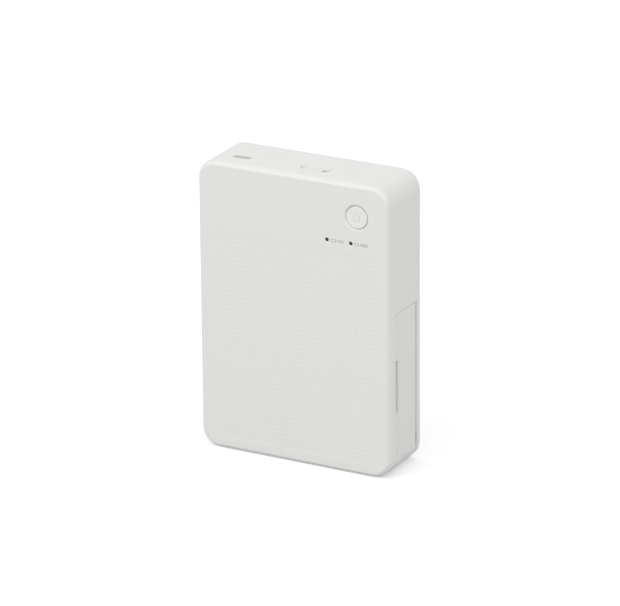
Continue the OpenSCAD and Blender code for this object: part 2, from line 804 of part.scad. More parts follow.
module platen_bushes() {
    color("#b08d57") bush_pair([platen_x, platen_y]);
}

module pinch_roller() {
    color(steel) {
        upright([grip_x, pinch_y], pinch_d, roller_low, roller_high);
        upright([grip_x, pinch_y], pinch_shaft_d, shaft_low, shaft_high);
    }
}

// Rubber sleeve on a steel shaft.
module platen_roller() {
    color(black) difference() {
        upright([platen_x, platen_y], platen_d, roller_low + 1, roller_high - 1);
        upright([platen_x, platen_y], shaft_d, roller_low, roller_high);
    }
    color(steel) upright([platen_x, platen_y], shaft_d, shaft_low, shaft_high);
}

// Two rubber tyres with a flat side that faces the sheets at rest.
module pickup_roller() {
    color(black) for (z = tyre_z) difference() {
        upright(pickup_axis, pickup_d, z, z + tyre_l);
        upright(pickup_axis, shaft_d, z - cut, z + tyre_l + cut);
        block([pickup_x - pickup_d, pickup_y - pickup_d, z - cut],
            [pickup_x + pickup_d, pickup_y - pickup_d / 2 + 0.8, z + tyre_l + cut]);
    }
}

module pickup_shaft() {
    color(steel) upright(pickup_axis, shaft_d, shaft_low, gear_z + gear_t);
    color("#e6e4dc") gear(pickup_axis, pickup_n, pickup_turn, gear_z, gear_z + gear_t, shaft_d - 0.2);
}

// Sensor that sees the sheet's edge, on the frame's base.
module paper_sensor() {
    color(black)
        block([platen_x + 5, tray_rear_y + 0.5, cas_mid - 4], [platen_x + 10, base_y - 0.02, cas_mid + 4]);
}

module head_pivot_shaft() {
    color(steel) upright([pivot_x, pivot_y], pivot_d, shaft_low, shaft_high);
}

// Coils round the pivot shaft that press the head down.
module head_springs() {
    color(steel) for (z = [head_low - 3, head_low + head_l - 3]) difference() {
        upright([pivot_x, pivot_y], pivot_d + 1.8, z, z + 5);
        upright([pivot_x, pivot_y], pivot_d + 0.3, z - cut, z + 5 + cut);
    }
}

// Turns what is drawn in its printing place back to its parked place.
module parked() {
    translate([pivot_x, pivot_y, 0]) rotate([0, 0, head_travel_deg])
        translate([-pivot_x, -pivot_y, 0]) children();
}

// Sheet-metal arm: a plate with an ear at each end round the pivot shaft.
module head_arm() {
    color(steel) parked() difference() {
        union() {
            block([head_left, arm_y, head_low + 4], [pivot_x - 4, arm_y + arm_t, head_low + head_l - 4]);
            for (z = [head_low + 4, head_low + head_l - 5]) {
                block([pivot_x - 5, pivot_y - 1, z], [pivot_x, arm_y + arm_t, z + 1]);
                upright([pivot_x, pivot_y], ear_d, z, z + 1);
            }
        }
        upright([pivot_x, pivot_y], pivot_d + 2 * run, 0, high_plate_z);
    }
}

module head_heat_sink() {
    color("#a9acae") parked() difference() {
        block([head_left, arm_y + arm_t, head_low], [head_right, head_tip_y - 2.2, head_low + head_l]);
        for (i = [0:2]) block([head_left + 1.2 + i * 1.5, head_tip_y - 6.5, head_low - cut],
            [head_left + 1.9 + i * 1.5, head_tip_y - 2.8, head_low + head_l + cut]);
    }
}

// Ceramic bar with its heater edge towards the sheet.
module thermal_head() {
    color("#e9e6dd") parked() translate([0, 0, head_low]) linear_extrude(head_l) polygon([
        [head_left, head_tip_y - 2.2], [head_right - 1.2, head_tip_y - 2.2],
        [platen_x + 0.6, head_tip_y], [platen_x - 0.6, head_tip_y]
    ]);
}

// Outline of the cassette seen from the front, with its lower corners rounded as the casing is.
module cassette_outline(left, right) {
    r = cas_round;
    translate([left, cas_low + r]) square([right - left, cas_h - r]);
    translate([left + r, cas_low]) square([right - left - 2 * r, r]);
    for (x = [left + r, right - r]) translate([x, cas_low + r]) circle(r);
}

// Rear half of the cassette: the tray of sheets, and the cheeks that hold the guide bars.
module cassette_case() {
    color(grey) difference() {
        union() {
            back_from(tray_front_y, tray_rear_y - tray_front_y)
                cassette_outline(tray_left - case_t, cas_right);
            for (z = [cas_low, cas_top - case_t])
                block([left_bar_x - 1.1, tray_front_y, z], [tray_left, path_y - 0.2, z + case_t]);
        }
        // room for the sheets
        block([tray_left, tray_front_y + case_t, face_low - sheet_gap],
            [cas_right - case_t, tray_rear_y - case_t + 0.2, face_high + sheet_gap]);
        // slot that the sheets leave by
        block([tray_left - case_t - cut, path_y - 0.5, face_low - sheet_gap],
            [tray_left + cut, path_y + 0.4, face_high + sheet_gap]);
        // windows for the pick-up tyres
        for (z = tyre_z)
            block([pickup_x - 6, tray_rear_y - case_t - cut, z - 1.5],
                [pickup_x + 8, tray_rear_y + cut, z + tyre_l + 1.5]);
        for (x = [left_bar_x, right_bar_x])
            upright([x, bar_y], bar_d + 2 * run, cas_low + 0.3, cas_top - 0.3);
    }
}

// Front half of the cassette: a hollow housing for the film, open where the head comes in.
module cassette_lid() {
    color("#9a9c9f") difference() {
        back_from(lid_front_y, lid_rear_y - lid_front_y) cassette_outline(cas_left, cas_right);
        block([cas_left + case_t, lid_front_y + case_t, face_low - sheet_gap],
            [cas_right - case_t, lid_rear_y + cut, face_high + sheet_gap]);
        // window for the thermal head
        block([window_left, lid_front_y - cut, face_low - sheet_gap],
            [window_right, lid_rear_y + cut, face_high + sheet_gap]);
        // seats of the spools' ends
        for (x = [supply_x, take_up_x])
            upright([x, spool_y], core_d - 1 + 2 * run, cas_low - cut, cas_top + cut);
        // grip in the outer end
        block([cas_right - 0.6, lid_front_y + 3, cas_mid - 12],
            [cas_right + cut, lid_rear_y - 2, cas_mid + 12]);
    }
}

module guide_bars() {
    color(steel) for (x = [left_bar_x, right_bar_x])
        upright([x, bar_y], bar_d, cas_low + 0.4, cas_top - 0.4);
}

// Spool with thin ends in the cassette's seats.
module spool(x) {
    upright([x, spool_y], core_d, face_low + 0.2, face_high - 0.2);
    upright([x, spool_y], core_d - 1, cas_low + 0.1, cas_top + 0.1);
}

module supply_spool() {
    color("#e6e4dc") spool(supply_x);
}

module take_up_spool() {
    color("#e6e4dc") {
        spool(take_up_x);
        upright([take_up_x, spool_y], core_d - 1, cas_top, spool_gear_z + spool_gear_t);
        gear(spool_axis, spool_n, spool_turn, spool_gear_z, spool_gear_z + spool_gear_t, 0);
    }
}

// Roll of film on a spool.
module film_roll(x, d) {
    difference() {
        upright([x, spool_y], d, face_low + 1, face_high - 1);
        upright([x, spool_y], core_d + 0.02, face_low, face_high);
    }
}

module supply_film_roll() {
    color("#d9b13b") film_roll(supply_x, supply_roll_d);
}

module take_up_film_roll() {
    color("#2f6fb4") film_roll(take_up_x, take_up_roll_d);
}

// Film between the rolls, over the two guide bars.
module film_web() {
    color("#d9b13b") block([left_bar_x, web_y, face_low + 1], [right_bar_x, web_y + web_t, face_high - 1]);
}

module paper_stack() {
    left = tray_left + sheet_play / 2;
    color("#f4f3ef") block([left, tray_rear_y - case_t - stack_t, face_low],
        [left + sheet_l, tray_rear_y - case_t, face_high]);
}

module main_board() {
    notch_left = strap_x - strap_l / 2 - 3;
    notch_right = strap_x + strap_l / 2 + 3;
    notch_low = board_high - strap_depth - 1;
    color(green) difference() {
        back_from(board_y - board_t, board_t) polygon([
            [board_step_x, board_low], [board_right, board_low], [board_right, board_high - 10],
            [board_right - 8, board_high - 10], [board_right - 8, board_high],
            [notch_right, board_high], [notch_right, notch_low],
            [notch_left, notch_low], [notch_left, board_high],
            [board_left, board_high], [board_left, board_step_z], [board_step_x, board_step_z]
        ]);
        for (at = board_holes) lengthwise(at[0], at[1], 2.4, board_y - board_t - cut, board_y + cut);
    }
}

// Chip standing on the board's front face.
module front_chip(x, z, w, h, t) {
    block([x - w / 2, board_y - board_t - t, z - h / 2], [x + w / 2, board_y - board_t, z + h / 2]);
}

module processor() {
    color(black) front_chip(processor_at[0], processor_at[1], processor_w, processor_w, 1.1);
}

module memory_chip() {
    color(black) front_chip(processor_at[0] + 12, processor_at[1], 8, 10, 0.9);
}

module radio_shield() {
    color(steel) front_chip(board_left + 19, board_high - 12.5, 18, 13, 2);
}

module board_connectors() {
    color("#e6e4dc") {
        front_chip((cable_x[0] + cable_x[1]) / 2, board_low + 4, 20, 4, 1.6);
        front_chip(strap_x + 10, board_low + 4, 8, 5, 3);
        front_chip(board_right - 10, board_low + 4, 8, 5, 3);
    }
}

module power_switch() {
    color(black) difference() {
        front_chip(button_x, button_z, 6, 6, switch_t);
        lengthwise(button_x, button_z, 2.6, switch_front_y - cut, switch_front_y + 1.3);
    }
}

module switch_plunger() {
    color("#e6e4dc") lengthwise(button_x, button_z, 2.5, plunger_y, switch_front_y + 0.6);
}

module status_leds() {
    color("#f0ead0") for (x = window_x) front_chip(x, window_z, 2, 1.2, 0.7);
}

// Metal shell of the charging socket, open at the top.
module charging_socket() {
    color(steel) difference() {
        translate([port_x, port_y, board_high - 6]) linear_extrude(body_h - wall - 0.1 - board_high + 6)
            oblong(9, 3.2);
        translate([port_x, port_y, board_high - 5]) linear_extrude(10) oblong(8.4, 2.6);
    }
    color(black) translate([port_x, port_y, board_high - 5.2])
        linear_extrude(4.6) square([6.6, 0.7], center = true);
}

// Flat cable from the thermal head's arm up to the main board.
module head_cable() {
    z = board_low + 4;
    color("#e9e6dd") {
        block([cable_x[0], cable_y, head_low + head_l - 12], [cable_x[1], cable_y + 0.3, z]);
        block([cable_x[0], cable_y + 0.3, z - 0.3], [cable_x[1], board_y - board_t - 1.6, z]);
    }
}

module battery_pack() {
    color("#3c4a5c") translate([battery_x, inner_rear_y - 0.3, battery_z]) rotate([90, 0, 0])
        linear_extrude(battery_t) rounded([battery_w, battery_h], 3);
}

// Two wires from the battery to its plug on the main board.
module battery_lead() {
    x = battery_x + battery_w;
    color("#b8322a") for (i = [0, 1])
        block([x, board_y + 1 + i * 1.4, board_low + 3], [x + 8, board_y + 2 + i * 1.4, board_low + 4]);
    color("#e6e4dc") block([x + 8, board_y, board_low + 1], [x + 14, board_y + 4, board_low + 6]);
}

module board_screws() {
    color(steel) for (at = board_holes) {
        lengthwise(at[0], at[1], 4, board_y, board_y + 1.4);
        lengthwise(at[0], at[1], 2, inner_front_y + 0.5, board_y);
    }
}

front_shell();
rear_cover();
cassette_cover();
hinge_pins();
cover_catches();
cover_switch();
power_button();
status_light_guides();
strap_pin();
rear_feet();
case_screws();
engine_frame();
engine_screws();
motor_bracket();
drive_motor();
motor_pinion();
first_idler_gear();
second_idler_gear();
idler_axles();
take_up_drive();
grip_roller();
grip_bushes();
pinch_roller();
platen_roller();
platen_bushes();
pickup_roller();
pickup_shaft();
paper_sensor();
head_pivot_shaft();
head_springs();
head_arm();
head_heat_sink();
thermal_head();
cassette_case();
cassette_lid();
guide_bars();
supply_spool();
take_up_spool();
supply_film_roll();
take_up_film_roll();
film_web();
paper_stack();
main_board();
processor();
memory_chip();
radio_shield();
board_connectors();
power_switch();
switch_plunger();
status_leds();
charging_socket();
head_cable();
battery_pack();
battery_lead();
board_screws();
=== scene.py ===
"""Looks of a compact photo printer that stands upright: its moulded casing with a fine
slanted texture, power button, status windows and cassette cover, and the finish of
everything inside it. Lengths are in metres."""

import json
import math

import bpy
import numpy as np
from bpy.props import FloatProperty, FloatVectorProperty, IntProperty, PointerProperty
from mathutils import Matrix, Vector


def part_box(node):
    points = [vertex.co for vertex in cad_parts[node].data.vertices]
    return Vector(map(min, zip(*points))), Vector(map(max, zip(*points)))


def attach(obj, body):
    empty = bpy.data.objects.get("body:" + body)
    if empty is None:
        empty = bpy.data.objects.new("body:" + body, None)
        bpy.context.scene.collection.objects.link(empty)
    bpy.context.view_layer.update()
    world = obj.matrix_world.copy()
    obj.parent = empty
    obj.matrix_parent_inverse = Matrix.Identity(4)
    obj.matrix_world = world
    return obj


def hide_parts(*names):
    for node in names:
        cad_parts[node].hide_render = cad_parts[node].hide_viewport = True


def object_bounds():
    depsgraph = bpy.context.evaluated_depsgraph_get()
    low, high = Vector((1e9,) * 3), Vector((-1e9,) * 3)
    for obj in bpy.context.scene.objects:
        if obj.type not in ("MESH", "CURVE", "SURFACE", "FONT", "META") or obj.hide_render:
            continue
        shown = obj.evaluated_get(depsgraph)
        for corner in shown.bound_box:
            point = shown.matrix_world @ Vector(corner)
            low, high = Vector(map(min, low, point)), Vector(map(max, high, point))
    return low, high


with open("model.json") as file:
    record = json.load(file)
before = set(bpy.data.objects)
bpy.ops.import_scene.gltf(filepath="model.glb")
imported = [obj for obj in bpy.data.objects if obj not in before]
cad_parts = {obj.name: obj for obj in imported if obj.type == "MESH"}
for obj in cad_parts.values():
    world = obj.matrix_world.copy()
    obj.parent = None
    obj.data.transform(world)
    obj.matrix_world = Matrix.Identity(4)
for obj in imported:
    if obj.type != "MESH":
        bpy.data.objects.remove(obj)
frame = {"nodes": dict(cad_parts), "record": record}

bl_info = {
    "name": "Photo Printer Finish",
    "version": (1, 0, 0),
    "blender": (4, 5, 0),
    "location": "View3D > Sidebar > Printer",
    "description": "Finishes the casing, controls and inner parts of a compact photo printer",
    "category": "Object",
}

CAD_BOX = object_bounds()
MM = 0.001
# how near a point or face has to be to the place where it is looked for
HAIR = 0.01 * MM
# the least angle between two faces that counts as an edge
EDGE_ANGLE = math.radians(35)
RECORD = frame["record"]
BODY_OF = {node: body for body, nodes in RECORD["behaviour"]["bodies"].items() for node in nodes}
SLOT_OF = {row["node"]: row["material_slot"] for row in RECORD["subparts"]}


def span(node):
    """Lowest and highest corners of a part."""
    low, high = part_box(node)
    return low.copy(), high.copy()


def middle(node):
    """Centre of a part's box."""
    low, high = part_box(node)
    return (low + high) / 2


def linear(code):
    """Linear red, green and blue of an sRGB hex value."""
    channels = [int(code[i : i + 2], 16) / 255 for i in (1, 3, 5)]
    return [c / 12.92 if c <= 0.04045 else ((c + 0.055) / 1.055) ** 2.4 for c in channels]


# ---------------------------------------------------------------- sizes and colours


def length(name, value, text):
    """A length in millimetres, kept in metres."""
    return FloatProperty(name=name, description=text, default=value * MM, unit="LENGTH", precision=5)


def colour(name, code, text):
    """A colour given as an sRGB hex value."""
    return FloatVectorProperty(
        name=name, description=text, default=linear(code), size=3, subtype="COLOR", min=0, max=1
    )


class PrinterSizes(bpy.types.PropertyGroup):
    """Sizes of the surface detail."""

    texture_step: length("Texture step", 0.38, "Spacing of the points that carry the front texture")
    texture_pitch: IntProperty(
        name="Texture pitch", description="Steps from one ridge to the next", default=6, min=4
    )
    texture_relief: length("Texture relief", 0.18, "Depth of the front texture from peak to valley")
    texture_fade: length("Texture fade", 3.5, "Height over which the texture fades out at its top")
    texture_edge_fade: length("Edge fade", 0.8, "Width over which the texture fades at its sides")
    texture_top: length("Texture top", 112.7, "Height at which the front texture ends")
    texture_bottom: length("Texture bottom", 5.9, "Height at which the front texture starts")
    casing_corner: length("Casing corner", 9.3, "Radius of the casing's corners")
    casing_fillet: length("Casing fillet", 5.8, "Radius of the casing's front edge as it is built")
    fillet_width: length("Fillet width", 2.2, "How far the rounded front edge reaches over the front face")
    fillet_depth: length("Fillet depth", 3.4, "How far the rounded front edge reaches over the sides")
    edge_round: length("Edge rounding", 0.15, "Rounding of moulded edges at parting lines")
    seam_round: length("Seam rounding", 0.32, "Rounding of the edges round the cassette opening")
    seam_fill: length("Seam fill", 0.12, "How far the cassette door's top is drawn into the seam above it")
    slot_foot: length("Slot foot", 32.35, "Height of the lower end of the door's finger slot")
    slot_slope: length("Slot slope", 1.3, "Height of the slope at the lower end of the finger slot")
    knuckle: length("Knuckle", 2.6, "Radius of the cassette door's rear edge on its hinge")
    knuckle_swing: length("Knuckle swing", 2.82, "Radius to which that edge may be filled out")
    fine_round: length("Fine rounding", 0.08, "Rounding of small inner edges")
    button_round: length("Button rounding", 0.3, "Rounding of the power button's edge")
    button_rim: length("Button rim", 1.4, "Width of the slope round the power button's hollow")
    button_dish: length("Button dish", 0.12, "Depth of the hollow in the power button")
    mark_line: length("Mark line", 0.3, "Width of the printed lines")
    mark_height: length("Mark height", 1.5, "Height of the marks by the status windows")
    mark_start: length("Mark start", 1.9, "Distance from the middle of a status window to its mark")
    battery_mark: length("Battery mark", 2.8, "Width of the battery mark")
    picture_mark: length("Picture mark", 2.4, "Width of the picture mark")
    power_ring: length("Power ring", 1.75, "Radius of the ring on the power button")
    power_bar: length("Power bar", 1.9, "Length of the bar on the power button")
    spring_wire: length("Spring wire", 0.5, "Wire of the head springs")
    spring_length: length("Spring length", 5, "Length of each head spring")
    grip_ribs: IntProperty(name="Grip ribs", description="Ribs in the cassette's grip", default=7, min=0)
    grip_pitch: length("Grip pitch", 3, "Spacing of the ribs in the cassette's grip")
    sheet_count: IntProperty(name="Sheets", description="Sheets in the stack", default=10, min=1)


class PrinterColours(bpy.types.PropertyGroup):
    """Colours of the finishes."""

    casing: colour("Casing", "#e4e4e2", "Moulded white of the casing")
    button: colour("Button", "#e7e7e5", "White of the power button")
    ink: colour("Ink", "#b0b0ae", "Grey ink of the printed marks")
    faint: colour("Faint ink", "#cbcbc9", "Light grey ink on the power button")
    window: colour("Window", "#19191a", "Smoked status windows")
    cassette: colour("Cassette", "#8b8d90", "Grey of the cassette")
    rubber: colour("Rubber", "#2e2f31", "Black rubber")
    board: colour("Board", "#1f5a38", "Solder mask of the board")
    battery: colour("Battery", "#36465a", "Wrap of the battery")
    dye_yellow: colour("Yellow dye", "#e0b42c", "Yellow panel of the film")
    dye_blue: colour("Blue dye", "#2a67ad", "Blue panel of the film")


class PrinterView(bpy.types.PropertyGroup):
    """Camera and light."""

    azimuth: FloatProperty(
        name="Azimuth", description="Turn of the camera to the right of the front",
        default=math.radians(28.35), unit="ROTATION",
    )
    elevation: FloatProperty(
        name="Elevation", description="Height angle of the camera",
        default=math.radians(20.54), unit="ROTATION",
    )
    roll: FloatProperty(
        name="Roll", description="Turn of the camera about its own line of sight",
        default=math.radians(-0.483), unit="ROTATION",
    )
    distance: length("Distance", 2161, "Distance of the camera from what it looks at")
    aside: length("Aside", 0.22, "How far right of the middle the camera looks")
    above: length("Above", 2.9, "How far above the middle the camera looks")
    focal: FloatProperty(name="Focal length", description="In millimetres on a 36 mm frame", default=263.5)
    surround: FloatProperty(name="Surround", description="Strength of the even studio light", default=0.8)
    floor_seen: FloatProperty(
        name="Floor seen", description="Whiteness of the floor as the camera sees it", default=0.9
    )
    floor_glow: FloatProperty(
        name="Floor glow", description="Light added to the floor that the camera sees", default=0.25
    )
    floor_bounce: FloatProperty(
        name="Floor bounce", description="Whiteness of the floor as it lights the printer", default=0.5
    )
    key: FloatProperty(
        name="Key", description="Power of the soft box at the left", default=14, unit="POWER"
    )
    fill: FloatProperty(
        name="Fill", description="Power of the soft box at the right", default=10, unit="POWER"
    )


# ---------------------------------------------------------------- material helpers


def add_node(tree, kind, inputs=None, links=None, **settings):
    """Adds a node, sets its properties and input values, and links its inputs."""
    node = tree.nodes.new(kind)
    for key, value in settings.items():
        setattr(node, key, value)
    for key, value in (inputs or {}).items():
        node.inputs[key].default_value = value
    for key, source in (links or {}).items():
        tree.links.new(source, node.inputs[key])
    return node


def new_material(name, values):
    """A material whose Principled shader has the values. Returns it, its tree, shader and coordinates."""
    material = bpy.data.materials.new(name)
    material.use_nodes = True
    tree = material.node_tree
    shader = tree.nodes["Principled BSDF"]
    for key, value in values.items():
        shader.inputs[key].default_value = value
    place = add_node(tree, "ShaderNodeTexCoord").outputs["Object"]
    return material, tree, shader, place


def opaque(rgb):
    """The colour with full alpha."""
    return (*rgb, 1.0)


def shade(rgb, factor):
    """The colour made darker or lighter, with full alpha."""
    return (*[min(1.0, c * factor) for c in rgb], 1.0)


def mottle(tree, place, shader, rgb, darker, lighter, size, detail=2):
    """Varies the colour between two shades of it over spots of the given size."""
    spots = add_node(tree, "ShaderNodeTexNoise", {"Scale": 1 / size, "Detail": detail}, {"Vector": place})
    mix = add_node(
        tree, "ShaderNodeMix", {6: shade(rgb, darker), 7: shade(rgb, lighter)},
        {0: spots.outputs["Fac"]}, data_type="RGBA",
    )
    tree.links.new(mix.outputs[2], shader.inputs["Base Color"])
    return spots


def roughen(tree, source, shader, low, high):
    """Varies the roughness between two values."""
    spread = add_node(
        tree, "ShaderNodeMapRange", {"To Min": low, "To Max": high}, {"Value": source}
    )
    tree.links.new(spread.outputs["Result"], shader.inputs["Roughness"])


def emboss(tree, source, shader, depth):
    """Raises the surface by the source's value times depth."""
    bump = add_node(tree, "ShaderNodeBump", {"Distance": depth}, {"Height": source})
    tree.links.new(bump.outputs["Normal"], shader.inputs["Normal"])


def brushed(tree, place, size, stretch=40):
    """Noise drawn out upwards, as rolling, drawing and winding leave it."""
    scale = (1 / size, 1 / size, 1 / size / stretch)
    lie = add_node(tree, "ShaderNodeMapping", {"Scale": scale}, {"Vector": place})
    return add_node(
        tree, "ShaderNodeTexNoise", {"Scale": 1.0, "Detail": 3}, {"Vector": lie.outputs["Vector"]}
    )


# ---------------------------------------------------------------- materials


def spark_textured_abs(colours):
    """White ABS from a spark-eroded mould: an even, fine, matt grain with a soft sheen."""
    material, tree, shader, place = new_material("spark_textured_white_abs", {"IOR": 1.53})
    mottle(tree, place, shader, colours.casing, 0.985, 1.01, 18 * MM)
    # mould grain of about 0.25 mm
    grain = add_node(
        tree, "ShaderNodeTexNoise", {"Scale": 1 / (0.25 * MM), "Detail": 2}, {"Vector": place}
    )
    roughen(tree, grain.outputs["Fac"], shader, 0.46, 0.6)
    emboss(tree, grain.outputs["Fac"], shader, 0.006 * MM)
    return material


def polished_abs(colours):
    """White ABS from a polished mould: smoother and a little glossier than the casing."""
    material, tree, shader, place = new_material("satin_white_abs", {"IOR": 1.53})
    spots = mottle(tree, place, shader, colours.button, 0.99, 1.01, 6 * MM)
    roughen(tree, spots.outputs["Fac"], shader, 0.32, 0.4)
    return material


def pad_ink(colours):
    """Pad-printed grey ink: a thin matt film with soft edges."""
    material, tree, shader, place = new_material("pad_printed_grey_ink", {"Roughness": 0.55})
    mottle(tree, place, shader, colours.ink, 0.95, 1.06, 0.3 * MM)
    return material


def faint_ink(colours):
    """Light grey ink on the button: hardly darker than the plastic under it."""
    material, tree, shader, place = new_material("pad_printed_light_ink", {"Roughness": 0.5})
    mottle(tree, place, shader, colours.faint, 0.97, 1.03, 0.3 * MM)
    return material


def smoked_acrylic(colours):
    """Smoked acrylic light guide: nearly black, with a clear polished face."""
    material, tree, shader, place = new_material("smoked_acrylic", {"IOR": 1.49, "Roughness": 0.12})
    mottle(tree, place, shader, colours.window, 1.0, 1.6, 1 * MM)
    return material


def moulded_cassette_abs(colours):
    """Grey ABS of the cassette, with a slightly coarser mould grain."""
    material, tree, shader, place = new_material("moulded_grey_abs", {"IOR": 1.53})
    mottle(tree, place, shader, colours.cassette, 0.96, 1.03, 12 * MM)
    grain = add_node(
        tree, "ShaderNodeTexNoise", {"Scale": 1 / (0.3 * MM), "Detail": 2}, {"Vector": place}
    )
    roughen(tree, grain.outputs["Fac"], shader, 0.4, 0.55)
    emboss(tree, grain.outputs["Fac"], shader, 0.008 * MM)
    return material


def black_pom(colours):
    """Black acetal of catches and switches: satin and slightly waxy."""
    material, tree, shader, place = new_material("black_acetal", {"IOR": 1.48})
    black = linear("#26272a")
    spots = mottle(tree, place, shader, black, 0.9, 1.15, 3 * MM)
    roughen(tree, spots.outputs["Fac"], shader, 0.34, 0.46)
    return material


def natural_acetal(colours):
    """Natural acetal of gears and spools: milky white and slightly see-through at the teeth."""
    material, tree, shader, place = new_material("natural_acetal", {
        "IOR": 1.48,
        "Subsurface Weight": 0.25,
        "Subsurface Radius": (0.6 * MM, 0.5 * MM, 0.4 * MM),
    })
    white = linear("#dedbd0")
    spots = mottle(tree, place, shader, white, 0.96, 1.03, 4 * MM)
    roughen(tree, spots.outputs["Fac"], shader, 0.36, 0.46)
    return material


def moulded_rubber(colours):
    """Black silicone rubber: matt, with a faint bloom."""
    material, tree, shader, place = new_material("moulded_rubber", {"IOR": 1.45})
    spots = mottle(tree, place, shader, colours.rubber, 0.85, 1.25, 1.5 * MM, 4)
    roughen(tree, spots.outputs["Fac"], shader, 0.72, 0.85)
    emboss(tree, spots.outputs["Fac"], shader, 0.01 * MM)
    return material


def stamped_steel(colours):
    """Galvanised sheet steel: cold grey with a long rolled grain."""
    material, tree, shader, place = new_material("galvanised_sheet_steel", {"Metallic": 1.0})
    grey = linear("#b4b7ba")
    grain = brushed(tree, place, 0.4 * MM)
    mottle(tree, place, shader, grey, 0.92, 1.06, 5 * MM, 3)
    roughen(tree, grain.outputs["Fac"], shader, 0.3, 0.46)
    emboss(tree, grain.outputs["Fac"], shader, 0.004 * MM)
    return material


def ground_steel(colours):
    """Ground steel of shafts and pins: bright, with fine rings round the axis."""
    material, tree, shader, place = new_material("ground_shaft_steel", {"Metallic": 1.0})
    bright = linear("#c9cbcd")
    rings = add_node(
        tree, "ShaderNodeTexWave", {"Scale": 1 / (0.5 * MM), "Distortion": 0.4, "Detail": 2},
        {"Vector": place}, bands_direction="Z",
    )
    mottle(tree, place, shader, bright, 0.95, 1.04, 3 * MM)
    roughen(tree, rings.outputs["Fac"], shader, 0.16, 0.28)
    return material


def zinc_screw(colours):
    """Zinc-plated screw steel: slightly blue and uneven."""
    material, tree, shader, place = new_material("zinc_plated_screw", {"Metallic": 1.0})
    zinc = linear("#aeb3ba")
    spots = mottle(tree, place, shader, zinc, 0.85, 1.1, 0.8 * MM, 3)
    roughen(tree, spots.outputs["Fac"], shader, 0.26, 0.42)
    return material


def drawn_motor_can(colours):
    """Nickel-plated motor can, deep drawn, with lines along its length."""
    material, tree, shader, place = new_material("nickel_plated_motor_can", {"Metallic": 1.0})
    nickel = linear("#bdbab3")
    lines = brushed(tree, place, 0.5 * MM, 60)
    mottle(tree, place, shader, nickel, 0.93, 1.05, 4 * MM)
    roughen(tree, lines.outputs["Fac"], shader, 0.2, 0.34)
    emboss(tree, lines.outputs["Fac"], shader, 0.003 * MM)
    return material


def cut_brass(colours):
    """Hobbed brass of the motor's pinion."""
    material, tree, shader, place = new_material("hobbed_brass", {"Metallic": 1.0})
    brass = linear("#c8a24e")
    spots = mottle(tree, place, shader, brass, 0.9, 1.06, 0.6 * MM, 3)
    roughen(tree, spots.outputs["Fac"], shader, 0.22, 0.36)
    return material


def sintered_bronze(colours):
    """Sintered bronze bush: dull, with oil-filled pores."""
    material, tree, shader, place = new_material("sintered_bronze", {"Metallic": 1.0})
    bronze = linear("#a5804e")
    pores = add_node(
        tree, "ShaderNodeTexVoronoi", {"Scale": 1 / (0.2 * MM)}, {"Vector": place}
    )
    mottle(tree, place, shader, bronze, 0.8, 1.1, 0.5 * MM, 4)
    roughen(tree, pores.outputs["Distance"], shader, 0.4, 0.62)
    emboss(tree, pores.outputs["Distance"], shader, 0.01 * MM)
    return material


def extruded_aluminium(colours):
    """Extruded aluminium heat sink: satin, with drawing lines along its length."""
    material, tree, shader, place = new_material("extruded_aluminium", {"Metallic": 1.0})
    silver = linear("#b9bcbf")
    lines = brushed(tree, place, 0.25 * MM, 80)
    mottle(tree, place, shader, silver, 0.95, 1.04, 6 * MM)
    roughen(tree, lines.outputs["Fac"], shader, 0.28, 0.44)
    emboss(tree, lines.outputs["Fac"], shader, 0.006 * MM)
    return material


def glazed_ceramic(colours):
    """Alumina ceramic of the thermal head under a thin glaze."""
    material, tree, shader, place = new_material("glazed_alumina", {"IOR": 1.7})
    cream = linear("#e6e1d3")
    spots = mottle(tree, place, shader, cream, 0.97, 1.02, 0.5 * MM, 3)
    roughen(tree, spots.outputs["Fac"], shader, 0.14, 0.24)
    return material


def ink_film(colours):
    """Dye-coated polyester film: glossy and thin, with its yellow panel in view."""
    material, tree, shader, place = new_material("dye_coated_film", {"IOR": 1.64, "Roughness": 0.12})
    mottle(tree, place, shader, colours.dye_yellow, 0.96, 1.04, 9 * MM)
    return material


def used_film(colours):
    """The wound end of the film, which carries the blue dye."""
    material, tree, shader, place = new_material("wound_blue_film", {"IOR": 1.64, "Roughness": 0.18})
    turns = brushed(tree, place, 0.2 * MM, 60)
    mix = add_node(
        tree, "ShaderNodeMix", {6: shade(colours.dye_blue, 0.8), 7: shade(colours.dye_blue, 1.1)},
        {0: turns.outputs["Fac"]}, data_type="RGBA",
    )
    tree.links.new(mix.outputs[2], shader.inputs["Base Color"])
    return material


def coated_paper(colours):
    """Glossy coated photo paper: white with a faint calendered unevenness."""
    material, tree, shader, place = new_material("coated_photo_paper", {})
    paper = linear("#f0efea")
    spots = mottle(tree, place, shader, paper, 0.985, 1.01, 2 * MM, 4)
    roughen(tree, spots.outputs["Fac"], shader, 0.2, 0.32)
    return material


def solder_mask(colours):
    """Green solder mask over copper: lighter where the tracks run under it."""
    material, tree, shader, place = new_material("green_solder_mask", {"IOR": 1.55, "Roughness": 0.32})
    tracks = add_node(
        tree, "ShaderNodeTexBrick",
        {
            "Color1": shade(colours.board, 0.8), "Color2": opaque(colours.board),
            "Mortar": shade(colours.board, 1.7), "Scale": 1 / (6 * MM), "Mortar Size": 0.03,
            "Brick Width": 0.9, "Row Height": 0.16,
        },
        {"Vector": add_node(
            tree, "ShaderNodeMapping", {"Rotation": (math.pi / 2, 0, 0)}, {"Vector": place}
        ).outputs["Vector"]},
    )
    tree.links.new(tracks.outputs["Color"], shader.inputs["Base Color"])
    emboss(tree, tracks.outputs["Fac"], shader, 0.02 * MM)
    return material


